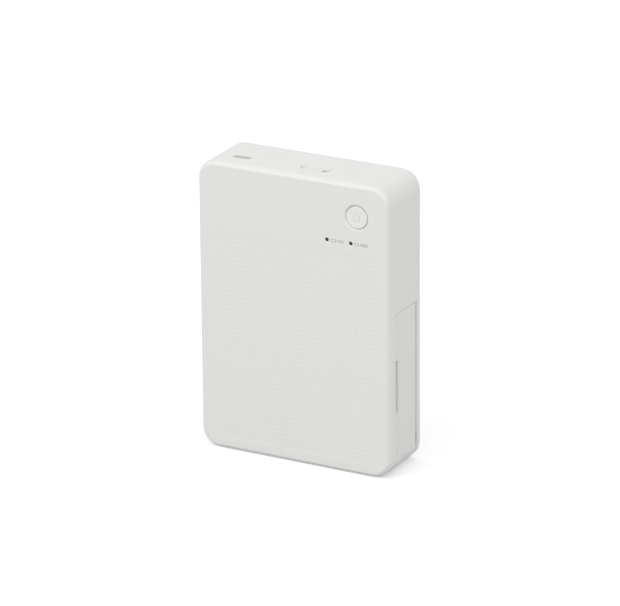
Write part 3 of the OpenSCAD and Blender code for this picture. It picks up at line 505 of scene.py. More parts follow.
def cable_film(colours):
    """Cream polyester of the flat cable, with its tinned conductors showing through."""
    material, tree, shader, place = new_material("flat_cable_polyester", {"Roughness": 0.3})
    cream = linear("#e4dfd0")
    stripes = add_node(
        tree, "ShaderNodeTexWave", {"Scale": 1 / (3.2 * MM)}, {"Vector": place}, bands_direction="X"
    )
    mix = add_node(
        tree, "ShaderNodeMix", {6: shade(cream, 0.75), 7: shade(cream, 1.0)},
        {0: stripes.outputs["Fac"]}, data_type="RGBA",
    )
    tree.links.new(mix.outputs[2], shader.inputs["Base Color"])
    return material


def red_pvc(colours):
    """Red PVC insulation of the battery's wires."""
    material, tree, shader, place = new_material("red_pvc_insulation", {})
    red = linear("#a52c24")
    spots = mottle(tree, place, shader, red, 0.9, 1.1, 2 * MM)
    roughen(tree, spots.outputs["Fac"], shader, 0.35, 0.45)
    return material


def battery_wrap(colours):
    """Shrink wrap of the battery: taut film with faint waves."""
    material, tree, shader, place = new_material("battery_shrink_wrap", {})
    waves = mottle(tree, place, shader, colours.battery, 0.92, 1.08, 9 * MM, 3)
    roughen(tree, waves.outputs["Fac"], shader, 0.22, 0.36)
    emboss(tree, waves.outputs["Fac"], shader, 0.12 * MM)
    return material


def epoxy_package(colours):
    """Black moulded epoxy of the chips, with a fine blasted grain."""
    material, tree, shader, place = new_material("moulded_epoxy_package", {})
    black = linear("#1d1e20")
    grain = mottle(tree, place, shader, black, 0.85, 1.2, 0.12 * MM, 2)
    roughen(tree, grain.outputs["Fac"], shader, 0.5, 0.65)
    emboss(tree, grain.outputs["Fac"], shader, 0.006 * MM)
    return material


def ceramic_capacitor(colours):
    """Small ceramic capacitors: tan and matt."""
    material, tree, shader, place = new_material("fired_capacitor_ceramic", {})
    tan = linear("#b39b78")
    spots = mottle(tree, place, shader, tan, 0.85, 1.1, 0.8 * MM)
    roughen(tree, spots.outputs["Fac"], shader, 0.45, 0.6)
    return material


def led_lens(colours):
    """Diffused epoxy of the status lamps, unlit."""
    material, tree, shader, place = new_material("diffused_led_epoxy", {"Roughness": 0.3})
    lens = linear("#e9e3c8")
    mottle(tree, place, shader, lens, 0.95, 1.03, 0.5 * MM)
    return material


FINISHES = {
    spark_textured_abs: ["front_shell", "rear_cover", "cassette_cover"],
    polished_abs: ["power_button"],
    smoked_acrylic: ["status_light_guides"],
    moulded_cassette_abs: ["cassette_case", "cassette_lid"],
    black_pom: ["cover_catches", "cover_switch", "power_switch", "paper_sensor"],
    natural_acetal: [
        "first_idler_gear", "second_idler_gear", "take_up_drive", "supply_spool", "take_up_spool",
        "board_connectors", "switch_plunger",
    ],
    moulded_rubber: ["rear_feet", "platen_roller", "pickup_roller"],
    stamped_steel: ["engine_frame", "motor_bracket", "head_arm", "radio_shield", "charging_socket"],
    ground_steel: [
        "hinge_pins", "strap_pin", "idler_axles", "grip_roller", "pinch_roller", "pickup_shaft",
        "head_pivot_shaft", "head_springs", "guide_bars",
    ],
    zinc_screw: ["case_screws", "engine_screws", "board_screws"],
    drawn_motor_can: ["drive_motor"],
    cut_brass: ["motor_pinion"],
    sintered_bronze: ["grip_bushes", "platen_bushes"],
    extruded_aluminium: ["head_heat_sink"],
    glazed_ceramic: ["thermal_head"],
    ink_film: ["film_web", "supply_film_roll"],
    used_film: ["take_up_film_roll"],
    coated_paper: ["paper_stack"],
    solder_mask: ["main_board"],
    cable_film: ["head_cable"],
    red_pvc: ["battery_lead"],
    battery_wrap: ["battery_pack"],
    epoxy_package: ["processor", "memory_chip"],
    led_lens: ["status_leds"],
}


def finish(recipe):
    """The material of a recipe, made on its first use."""
    key = "finish_" + recipe.__name__
    if key not in bpy.context.scene:
        bpy.context.scene[key] = recipe(bpy.context.scene.printer_colours).name
    return bpy.data.materials[bpy.context.scene[key]]


# ---------------------------------------------------------------- modelling helpers


def only(piece):
    """Makes the piece the one that is selected and active."""
    if bpy.context.object and bpy.context.object.mode != "OBJECT":
        bpy.ops.object.mode_set(mode="OBJECT")
    bpy.ops.object.select_all(action="DESELECT")
    piece.select_set(True)
    bpy.context.view_layer.objects.active = piece


def pick(piece, test, kind="polygons"):
    """Selects in edit mode the faces, edges or vertices that pass the test."""
    bpy.ops.object.mode_set(mode="OBJECT")
    mesh = piece.data
    for parts in (mesh.polygons, mesh.edges, mesh.vertices):
        parts.foreach_set("select", np.zeros(len(parts), bool))
    for part in getattr(mesh, kind):
        part.select = test(part)
    bpy.ops.object.mode_set(mode="EDIT")
    bpy.ops.mesh.select_mode(type={"polygons": "FACE", "edges": "EDGE", "vertices": "VERT"}[kind])


def apply_modifiers(piece):
    """Applies all modifiers of the piece in their order."""
    only(piece)
    for modifier in list(piece.modifiers):
        bpy.ops.object.modifier_apply(modifier=modifier.name)


def settle(piece):
    """Puts the piece's place, turn and size into its mesh."""
    only(piece)
    bpy.ops.object.transform_apply(location=True, rotation=True, scale=True)


def smooth(piece):
    """Shades curved faces round and large flat faces flat."""
    only(piece)
    bpy.ops.mesh.customdata_custom_splitnormals_clear()
    bpy.ops.object.shade_smooth_by_angle(angle=EDGE_ANGLE)
    weights = piece.modifiers.new("flat_faces", "WEIGHTED_NORMAL")
    weights.keep_sharp = True
    apply_modifiers(piece)


def soften(piece, width, segments=2):
    """Rounds the sharp edges and shades the piece."""
    edges = piece.modifiers.new("rounded_edges", "BEVEL")
    edges.width = width
    edges.segments = segments
    edges.limit_method = "ANGLE"
    edges.angle_limit = EDGE_ANGLE
    edges.miter_outer = "MITER_SHARP"
    edges.use_clamp_overlap = True
    apply_modifiers(piece)
    smooth(piece)


def round_seam(piece, side, top, width, front=None):
    """Rounds the edge on the right side along the cassette opening's top, and along its front."""
    mesh = piece.data
    normals = {edge.key: [] for edge in mesh.edges}
    for face in mesh.polygons:
        for key in face.edge_keys:
            normals[key].append(face.normal.copy())
    near = 0.4 * MM

    def outer(edge):
        first, second = (mesh.vertices[i].co for i in edge.vertices)
        sides = normals[edge.key]
        if min(first.x, second.x) < side - near or len(sides) != 2 or sides[0].dot(sides[1]) > 0.3:
            return False
        middle_y, middle_z = (first.y + second.y) / 2, (first.z + second.z) / 2
        along_top = abs(middle_z - top) < near and abs(first.z - second.z) < HAIR
        along_front = front is not None and abs(middle_y - front) < near and middle_z < top + near
        return along_top or along_front

    only(piece)
    pick(piece, outer, "edges")
    bpy.ops.mesh.bevel(offset=width, segments=3, affect="EDGES", loop_slide=False)
    bpy.ops.object.mode_set(mode="OBJECT")


def finished(piece, name, recipe, *nodes, body=None, slot=None):
    """Names the piece, gives it its finish and body, and hides the parts that it stands for."""
    piece.name = name
    piece.data.name = name
    piece.data.materials.clear()
    piece.data.materials.append(finish(recipe))
    if nodes:
        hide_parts(*nodes)
    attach(piece, body or BODY_OF[nodes[0]])
    return piece


def dressed_copy(node, name):
    """A copy of a part's mesh with its points merged and its flat faces made whole."""
    piece = bpy.data.objects.new(name, frame["nodes"][node].data.copy())
    bpy.context.scene.collection.objects.link(piece)
    only(piece)
    bpy.ops.mesh.customdata_custom_splitnormals_clear()
    bpy.ops.object.mode_set(mode="EDIT")
    bpy.ops.mesh.select_all(action="SELECT")
    bpy.ops.mesh.remove_doubles(threshold=0.002 * MM)
    bpy.ops.mesh.dissolve_limited(angle_limit=math.radians(0.3))
    bpy.ops.mesh.normals_make_consistent(inside=False)
    bpy.ops.object.mode_set(mode="OBJECT")
    return piece


def dress(node, name, recipe, width, segments=2):
    """The part with rounded edges and its finish."""
    piece = dressed_copy(node, name)
    soften(piece, width, segments)
    return finished(piece, name, recipe, node)


def joined(pieces):
    """The first piece with the others joined to it."""
    only(pieces[0])
    for piece in pieces[1:]:
        piece.select_set(True)
    if len(pieces) > 1:
        bpy.ops.object.join()
    return pieces[0]


def flat_bar(x, y, z, width, height):
    """A flat rectangle that faces the front, centred on the point."""
    bpy.ops.mesh.primitive_plane_add(size=1, location=(x, y, z), rotation=(math.pi / 2, 0, 0))
    bar = bpy.context.object
    bar.scale = (width, height, 1)
    settle(bar)
    return bar


def flat_frame(x, y, z, width, height, line):
    """A flat rectangular outline that faces the front."""
    outline = flat_bar(x, y, z, width, height)
    bpy.ops.object.mode_set(mode="EDIT")
    bpy.ops.mesh.select_all(action="SELECT")
    bpy.ops.mesh.inset(thickness=line)
    bpy.ops.mesh.delete(type="FACE")
    bpy.ops.object.mode_set(mode="OBJECT")
    return outline


def flat_arc(x, y, z, radius, line, gap):
    """A flat ring that faces the front, open at its top over the given angle."""
    bpy.ops.mesh.primitive_circle_add(
        vertices=48, radius=radius - line / 2, location=(x, y, z), rotation=(math.pi / 2, 0, 0)
    )
    arc = bpy.context.object
    settle(arc)
    pick(arc, lambda point: abs(math.atan2(point.co.x - x, point.co.z - z)) < gap / 2, "vertices")
    bpy.ops.mesh.delete(type="VERT")
    bpy.ops.mesh.select_all(action="SELECT")
    bpy.ops.mesh.extrude_edges_move()
    growth = (radius + line / 2) / (radius - line / 2)
    bpy.ops.transform.resize(value=(growth, growth, growth), center_override=(x, y, z))
    bpy.ops.object.mode_set(mode="OBJECT")
    return arc


def inlay(piece, y, marks, ink, plain=()):
    """Sets flat marks, in ink, and plain sheets flush into the piece's front face at y."""
    only(piece)
    pick(piece, lambda face: face.normal.y < -0.99 and abs(face.center.y - y) < HAIR)
    bpy.ops.mesh.delete(type="FACE")
    bpy.ops.object.mode_set(mode="OBJECT")
    own = piece.data.materials[0]
    piece.data.materials.append(finish(ink))
    for mark in marks:
        mark.data.materials.append(own)
        mark.data.materials.append(finish(ink))
        for face in mark.data.polygons:
            face.material_index = 1
    for sheet in plain:
        sheet.data.materials.append(own)
    joined([piece, *marks, *plain])
    bpy.ops.object.mode_set(mode="EDIT")
    bpy.ops.mesh.select_mode(type="EDGE")
    bpy.ops.mesh.select_all(action="DESELECT")
    bpy.ops.mesh.select_non_manifold()
    bpy.ops.mesh.fill(use_beauty=True)
    bpy.ops.mesh.select_all(action="SELECT")
    bpy.ops.mesh.normals_make_consistent(inside=False)
    bpy.ops.object.mode_set(mode="OBJECT")


# ---------------------------------------------------------------- casing


def texture_fields(sizes):
    """The two rectangles of the front's texture as (left, right, bottom, top), on one lattice."""
    step = sizes.texture_step
    low, high = span("front_shell")
    flat_half = high.x - sizes.casing_fillet
    inner_half = high.x - sizes.casing_corner
    wide = int(flat_half / step) * step
    narrow = int(inner_half / step) * step
    bottom = sizes.texture_bottom
    shoulder = bottom + math.ceil((sizes.casing_corner - bottom) / step) * step
    top = shoulder + int((sizes.texture_top - shoulder) / step) * step
    return (-wide, wide, shoulder, top), (-narrow, narrow, bottom, shoulder)


def slanted_relief(sizes, x, z, fields):
    """Depth of the texture below the front face at points of the front."""
    pitch = sizes.texture_step * sizes.texture_pitch
    # ridges that rise to the right, broken up by fainter rows and columns
    rising = np.cos(2 * np.pi * (z - x) / pitch)
    rows = np.cos(2 * np.pi * z / pitch)
    columns = np.cos(2 * np.pi * x / pitch)
    ridge_share, lattice_share = 0.34, 0.08
    depth = 0.5 - ridge_share * rising - lattice_share * (rows + columns)
    main, foot = fields
    side = np.clip((main[1] - np.abs(x)) / sizes.texture_edge_fade, 0, 1)
    upper = np.clip((main[3] - z) / sizes.texture_fade, 0, 1)
    lower = np.clip((z - foot[2]) / sizes.texture_edge_fade, 0, 1)
    # distance inside the rounded lower corners of the flat front
    radius = main[2] - foot[2]
    across = np.maximum(np.abs(x) - foot[1], 0)
    down = np.maximum(main[2] - z, 0)
    corner = np.clip((radius - np.hypot(across, down)) / sizes.texture_edge_fade, 0, 1)
    return sizes.texture_relief * depth * side * upper * lower * corner


class FrontCasing(bpy.types.Operator):
    """Front shell with rounded edges, its moulded slanted texture and its printed marks"""

    bl_idname = "printer.front_casing"
    bl_label = "Front Casing"

    def execute(self, context):
        sizes = context.scene.printer_sizes
        shell = dressed_copy("front_shell", "front_casing")
        self.tighter_front_edge(shell, sizes)
        high = span("cassette_cover")[1]
        round_seam(shell, high.x, high.z, sizes.seam_round)
        soften(shell, sizes.edge_round)
        front = span("front_shell")[0].y
        plate = self.texture_plate(sizes, front)
        marks = self.status_marks(sizes, front)
        finished(shell, "front_casing", spark_textured_abs, "front_shell")
        inlay(shell, front, marks, pad_ink, [plate])
        smooth(shell)
        return {"FINISHED"}

    def tighter_front_edge(self, shell, sizes):
        """Draws the rounded front edge out, so that it turns sooner into the front and the sides."""
        low, high = span("front_shell")
        radius, corner = sizes.casing_fillet, sizes.casing_corner
        centre = Vector((0, 0, (low.z + high.z) / 2))
        half_x = high.x - corner
        half_z = (high.z - low.z) / 2 - corner
        for point in shell.data.vertices:
            depth = radius - (point.co.y - low.y)
            if depth < -HAIR:
                continue
            # where the point lies from the nearest line that the corners turn about
            across, up = point.co.x - centre.x, point.co.z - centre.z
            aside = Vector((max(abs(across) - half_x, 0), max(abs(up) - half_z, 0)))
            reach = aside.length
            if abs(math.hypot(reach - (corner - radius), depth) - radius) > 2 * HAIR:
                continue
            inset = (corner - reach) * sizes.fillet_width / radius
            aside *= (corner - inset) / reach
            point.co.y = low.y + (radius - depth) * sizes.fillet_depth / radius
            if aside.x:
                point.co.x = centre.x + math.copysign(half_x + aside.x, across)
            if aside.y:
                point.co.z = centre.z + math.copysign(half_z + aside.y, up)

    def texture_plate(self, sizes, front):
        """The textured face, as an open sheet."""
        step = sizes.texture_step
        fields = texture_fields(sizes)
        sheets = []
        for left, right, bottom, top in fields:
            across = round((right - left) / step)
            up = round((top - bottom) / step)
            bpy.ops.mesh.primitive_grid_add(
                x_subdivisions=across, y_subdivisions=up, size=1,
                location=((left + right) / 2, front, (bottom + top) / 2),
                rotation=(math.pi / 2, 0, 0),
            )
            bpy.context.object.scale = (right - left, top - bottom, 1)
            settle(bpy.context.object)
            sheets.append(bpy.context.object)
        plate = joined(sheets)
        bpy.ops.object.mode_set(mode="EDIT")
        bpy.ops.mesh.select_all(action="SELECT")
        bpy.ops.mesh.remove_doubles(threshold=step / 10)
        bpy.ops.object.mode_set(mode="OBJECT")
        points = np.empty(len(plate.data.vertices) * 3, np.float32)
        plate.data.vertices.foreach_get("co", points)
        points = points.reshape(-1, 3)
        points[:, 1] += slanted_relief(sizes, points[:, 0], points[:, 2], fields)
        plate.data.vertices.foreach_set("co", points.ravel())
        return plate

    def status_marks(self, sizes, front):
        """A battery and a picture, printed beside the two status windows."""
        low, high = span("status_light_guides")
        z = (low.z + high.z) / 2
        flange = (high.z - low.z) / 2
        line, tall = sizes.mark_line, sizes.mark_height
        battery, picture = sizes.battery_mark, sizes.picture_mark
        first = low.x + flange + sizes.mark_start
        second = high.x - flange + sizes.mark_start
        pole_width, pole_height = 0.26 * MM, 0.6 * MM
        pole = first + battery + 0.25 * MM

        def bars(start, count, pitch, width):
            return [flat_bar(start + i * pitch, front, z, width, tall) for i in range(count)]

        return [
            flat_frame(first + battery / 2, front, z, battery, tall, line),
            flat_bar(pole, front, z, pole_width, pole_height),
            *bars(first + battery + 1.1 * MM, 5, 0.75 * MM, 0.34 * MM),
            flat_frame(second + picture / 2, front, z, picture, tall, line),
            *bars(second + picture + 1.1 * MM, 4, 1.0 * MM, 0.62 * MM),
        ]


class RearCover(bpy.types.Operator):
    """Rear cover with rounded edges"""

    bl_idname = "printer.rear_cover"
    bl_label = "Rear Cover"

    def execute(self, context):
        dress("rear_cover", "rear_casing", spark_textured_abs, context.scene.printer_sizes.edge_round)
        return {"FINISHED"}


class CassetteDoor(bpy.types.Operator):
    """Cassette cover with rounded edges and its finger slot"""

    bl_idname = "printer.cassette_door"
    bl_label = "Cassette Door"

    def execute(self, context):
        sizes = context.scene.printer_sizes
        low, high = span("cassette_cover")
        door = dressed_copy("cassette_cover", "cassette_door")
        self.fuller_rear_edge(door, sizes, high)
        self.top_and_slot(door, sizes, high)
        round_seam(door, high.x, high.z, sizes.seam_round, low.y)
        soften(door, sizes.edge_round)
        finished(door, "cassette_door", spark_textured_abs, "cassette_cover")
        return {"FINISHED"}

    def fuller_rear_edge(self, door, sizes, high):
        """Draws the round rear edge out towards the casing, so that the groove behind it is narrow."""
        knuckle, swing = sizes.knuckle, sizes.knuckle_swing
        axis = Vector((high.x - knuckle, high.y - knuckle, 0))
        for point in door.data.vertices:
            across, back = point.co.x - axis.x, point.co.y - axis.y
            if min(across, back) > -HAIR and abs(math.hypot(across, back) - knuckle) < 2 * HAIR:
                point.co.x = axis.x + min(across * swing / knuckle, knuckle)
                point.co.y = axis.y + back * swing / knuckle

    def top_and_slot(self, door, sizes, high):
        """Draws the top edge into the seam, and slopes the lower end of the finger slot."""
        band = high.x - 0.3 * MM
        for point in door.data.vertices:
            if point.co.z > high.z - HAIR:
                point.co.z += sizes.seam_fill
            elif point.co.x > band and abs(point.co.z - sizes.slot_foot) < HAIR:
                point.co.z -= sizes.slot_slope


class PowerButton(bpy.types.Operator):
    """Round power button with a shallow dish and a printed ring and bar"""

    bl_idname = "printer.power_button"
    bl_label = "Power Button"

    def execute(self, context):
        sizes = context.scene.printer_sizes
        button = dressed_copy("power_button", "dished_power_button")
        soften(button, sizes.button_round, 3)
        y = span("power_button")[0].y
        centre = middle("power_button")
        pick(button, lambda face: face.normal.y < -0.99 and abs(face.center.y - y) < HAIR)
        # the dish gets steadily less steep towards the middle
        rings = 4
        for ring in range(rings):
            share = 2 * (rings - ring) / (rings * (rings + 1))
            bpy.ops.mesh.inset(thickness=sizes.button_rim / rings * 2, depth=-sizes.button_dish * share)
        bpy.ops.object.mode_set(mode="OBJECT")
        floor = y + sizes.button_dish
        ring_z = centre.z - 0.2 * MM
        bar_z = centre.z + 1.35 * MM
        gap = math.radians(84)
        arc = flat_arc(centre.x, floor, ring_z, sizes.power_ring, sizes.mark_line, gap)
        bar = flat_bar(centre.x, floor, bar_z, sizes.mark_line, sizes.power_bar)
        finished(button, "dished_power_button", polished_abs, "power_button")
        inlay(button, floor, [arc, bar], faint_ink)
        smooth(button)
        return {"FINISHED"}


class StatusWindows(bpy.types.Operator):
    """Smoked light guides with polished, slightly rounded faces"""

    bl_idname = "printer.status_windows"
    bl_label = "Status Windows"

    def execute(self, context):
        sizes = context.scene.printer_sizes
        dress("status_light_guides", "smoked_status_windows", smoked_acrylic, sizes.fine_round, 4)
        return {"FINISHED"}


class CassetteBody(bpy.types.Operator):
    """Cassette housing and tray with rounded edges, and ribs in its grip"""

    bl_idname = "printer.cassette_body"
    bl_label = "Cassette Body"

    def execute(self, context):
        sizes = context.scene.printer_sizes
        dress("cassette_case", "cassette_tray", moulded_cassette_abs, sizes.edge_round)
        lid = dressed_copy("cassette_lid", "cassette_housing")
        soften(lid, sizes.edge_round)
        ribs = self.grip_ribs(sizes)
        housing = joined([lid, *ribs])
        finished(housing, "cassette_housing", moulded_cassette_abs, "cassette_lid")
        smooth(housing)
        return {"FINISHED"}

    def grip_ribs(self, sizes):
        """Upright ribs that stand on the floor of the grip in the cassette's outer end."""
        low, high = span("cassette_lid")
        z = (low.z + high.z) / 2
        proud, sunk, margin = 0.7 * MM, 0.45 * MM, 3 * MM
        ribs = []
        for i in range(sizes.grip_ribs):
            place = z + (i - (sizes.grip_ribs - 1) / 2) * sizes.grip_pitch
            bpy.ops.mesh.primitive_cube_add(
                size=1, location=(high.x - sunk, (low.y + high.y) / 2, place)
            )
            rib = bpy.context.object
            rib.scale = (proud, high.y - low.y - 2 * margin, sizes.grip_pitch / 2)
            settle(rib)
            soften(rib, sizes.edge_round)
            ribs.append(rib)
        return ribs


class FilmAndPaper(bpy.types.Operator):
    """Film on its spools, and the stack of sheets"""

    bl_idname = "printer.film_and_paper"
    bl_label = "Film And Paper"

    def execute(self, context):
        sizes = context.scene.printer_sizes
        for node, name, recipe in (
            ("supply_spool", "film_supply_core", natural_acetal),
            ("take_up_spool", "film_take_up_core", natural_acetal),
            ("supply_film_roll", "wound_fresh_film", ink_film),
            ("take_up_film_roll", "wound_used_film", used_film),
            ("guide_bars", "film_guide_bars", ground_steel),
        ):
            dress(node, name, recipe, sizes.fine_round)
        self.sheets(sizes)
        return {"FINISHED"}

    def sheets(self, sizes):
        """Single sheets, each a little out of line with the next."""
        low, high = span("paper_stack")
        pitch = (high.y - low.y) / sizes.sheet_count
        chance = np.random.default_rng(7)
        stack = []
        for i in range(sizes.sheet_count):
            trim = Vector(chance.uniform(0.02, 0.2, 4) * MM)
            bpy.ops.mesh.primitive_cube_add(
                size=1,
                location=(
                    (low.x + high.x + trim[0] - trim[1]) / 2, low.y + (i + 0.5) * pitch,
                    (low.z + high.z + trim[2] - trim[3]) / 2,
                ),
            )
            sheet = bpy.context.object
            sheet.scale = (
                high.x - low.x - trim[0] - trim[1], pitch * 0.9, high.z - low.z - trim[2] - trim[3]
            )
            settle(sheet)
            corners = sheet.modifiers.new("rounded_corners", "BEVEL")
            corners.width = pitch * 0.2
            apply_modifiers(sheet)
            stack.append(sheet)
        finished(joined(stack), "photo_paper_sheets", coated_paper, "paper_stack")


class PrintEngine(bpy.types.Operator):
    """Frame, bracket, rollers, shafts and bushes of the print engine"""

    bl_idname = "printer.print_engine"
    bl_label = "Print Engine"

    def execute(self, context):
        sizes = context.scene.printer_sizes
        for node, name, recipe in (
            ("engine_frame", "stamped_engine_frame", stamped_steel),
            ("motor_bracket", "stamped_motor_bracket", stamped_steel),
            ("grip_roller", "knurled_grip_roller", ground_steel),
            ("pinch_roller", "ground_pinch_roller", ground_steel),
            ("platen_roller", "rubber_platen_roller", moulded_rubber),
            ("pickup_roller", "rubber_pickup_tyres", moulded_rubber),
            ("pickup_shaft", "turned_pickup_shaft", ground_steel),
            ("grip_bushes", "bronze_grip_bushes", sintered_bronze),
            ("platen_bushes", "bronze_platen_bushes", sintered_bronze),
            ("idler_axles", "turned_idler_axles", ground_steel),
            ("paper_sensor", "moulded_paper_sensor", black_pom),
        ):
            dress(node, name, recipe, sizes.fine_round)
        return {"FINISHED"}


class GearTrain(bpy.types.Operator):
    """Gears with softened teeth, from the motor's pinion to the take-up spool"""

    bl_idname = "printer.gear_train"
    bl_label = "Gear Train"

    def execute(self, context):
        sizes = context.scene.printer_sizes
        for node, name, recipe in (
            ("motor_pinion", "hobbed_motor_pinion", cut_brass),
            ("first_idler_gear", "moulded_first_idler", natural_acetal),
            ("second_idler_gear", "moulded_second_idler", natural_acetal),
            ("take_up_drive", "moulded_take_up_drive", natural_acetal),
        ):
            dress(node, name, recipe, sizes.fine_round, 1)
        return {"FINISHED"}


class ThermalHead(bpy.types.Operator):
    """Thermal head with its arm, heat sink, flat cable and coil springs"""

    bl_idname = "printer.thermal_head"
    bl_label = "Thermal Head"

    def execute(self, context):
        sizes = context.scene.printer_sizes
        for node, name, recipe in (
            ("head_arm", "stamped_head_arm", stamped_steel),
            ("head_heat_sink", "finned_heat_sink", extruded_aluminium),
            ("thermal_head", "ceramic_heater_bar", glazed_ceramic),
            ("head_pivot_shaft", "ground_pivot_shaft", ground_steel),
            ("head_cable", "flat_head_cable", cable_film),
        ):
            dress(node, name, recipe, sizes.fine_round)
        self.springs(sizes)
        return {"FINISHED"}

    def springs(self, sizes):
        """Two coil springs round the pivot shaft."""
        low, high = span("head_springs")
        coil, wire = sizes.spring_length, sizes.spring_wire
        pitch = 1.25 * wire
        turn_steps = 24
        radius = (high.x - low.x) / 2 - wire / 2
        axis = Vector(((low.x + high.x) / 2, (low.y + high.y) / 2, 0))
        coils = []
        for start in (low.z, high.z - coil):
            bpy.ops.mesh.primitive_circle_add(
                vertices=10, radius=wire / 2, fill_type="NOTHING",
                location=(radius, 0, wire / 2), rotation=(math.pi / 2, 0, 0),
            )
            spring = bpy.context.object
            settle(spring)
            climb = coil - wire
            turns = round(climb / pitch)
            screw = spring.modifiers.new("coil", "SCREW")
            screw.angle = 2 * math.pi * turns
            screw.screw_offset = climb
            screw.steps = turn_steps * turns
            screw.render_steps = turn_steps * turns
            screw.use_merge_vertices = False
            apply_modifiers(spring)
            pick(spring, lambda point: True, "vertices")
            bpy.ops.mesh.fill_holes(sides=0)
            bpy.ops.mesh.normals_make_consistent(inside=False)
            bpy.ops.object.mode_set(mode="OBJECT")
            spring.location = axis + Vector((0, 0, start))
            settle(spring)
            smooth(spring)
            coils.append(spring)
        finished(joined(coils), "head_coil_springs", ground_steel, "head_springs")


class DriveMotor(bpy.types.Operator):
    """Motor can with its rolled edges and terminals"""

    bl_idname = "printer.drive_motor"
    bl_label = "Drive Motor"

    def execute(self, context):
        sizes = context.scene.printer_sizes
        dress("drive_motor", "drawn_motor_can", drawn_motor_can, 3 * sizes.edge_round, 3)
        return {"FINISHED"}


class Electronics(bpy.types.Operator):
    """Main board with its chips, shield, connectors, switch, socket and small parts"""

    bl_idname = "printer.electronics"
    bl_label = "Electronics"

    def execute(self, context):
        sizes = context.scene.printer_sizes
        for node, name, recipe in (
            ("main_board", "printed_circuit_board", solder_mask),
            ("processor", "processor_package", epoxy_package),
            ("memory_chip", "memory_package", epoxy_package),
            ("radio_shield", "radio_shield_can", stamped_steel),
            ("board_connectors", "board_sockets", natural_acetal),
            ("power_switch", "tact_switch", black_pom),
            ("switch_plunger", "tact_switch_plunger", natural_acetal),
            ("status_leds", "status_lamps", led_lens),
            ("charging_socket", "charging_socket_shell", stamped_steel),
            ("battery_lead", "battery_wires", red_pvc),
        ):
            dress(node, name, recipe, sizes.fine_round)
        dress("battery_pack", "wrapped_battery_pack", battery_wrap, 10 * sizes.edge_round, 4)
        self.small_parts(sizes)
        return {"FINISHED"}

    def small_parts(self, sizes):
        """Rows of capacitors round the processor and the memory."""
        face = span("main_board")[0].y
        chance = np.random.default_rng(11)
        wide, deep, sunk = 1.0 * MM, 0.5 * MM, 0.01 * MM
        pitch, clear = 2.4 * MM, 1.6 * MM
        parts = []
        for node in ("processor", "memory_chip"):
            low, high = span(node)
            count = int((high.x - low.x) / pitch)
            for i in range(count):
                for z in (low.z - clear, high.z + clear):
                    tall = chance.uniform(0.45, 0.75) * MM
                    bpy.ops.mesh.primitive_cube_add(
                        size=1, location=(low.x + (i + 0.5) * pitch, face - tall / 2 + sunk, z)
                    )
                    part = bpy.context.object
                    part.scale = (wide, tall, deep)
                    settle(part)
                    soften(part, sizes.fine_round, 1)
                    parts.append(part)
        finished(
            joined(parts), "ceramic_capacitors", ceramic_capacitor,
            body=BODY_OF["main_board"], slot=SLOT_OF["processor"],
        )


class Fittings(bpy.types.Operator):
    """Screws, pins, catches, switch and feet"""

    bl_idname = "printer.fittings"
    bl_label = "Fittings"

    def execute(self, context):
        sizes = context.scene.printer_sizes
        for node, name, recipe, width in (
            ("case_screws", "cross_head_case_screws", zinc_screw, sizes.fine_round),
            ("engine_screws", "slotted_engine_screws", zinc_screw, sizes.fine_round),
            ("board_screws", "board_screws_turned", zinc_screw, sizes.fine_round),
            ("hinge_pins", "ground_hinge_pins", ground_steel, sizes.fine_round),
            ("strap_pin", "ground_strap_pin", ground_steel, sizes.fine_round),
            ("cover_catches", "sprung_cover_catches", black_pom, sizes.fine_round),
            ("cover_switch", "moulded_cover_switch", black_pom, sizes.fine_round),
            ("rear_feet", "rounded_rear_feet", moulded_rubber, 2 * sizes.edge_round),
        ):
            dress(node, name, recipe, width)
        return {"FINISHED"}


# ---------------------------------------------------------------- stage


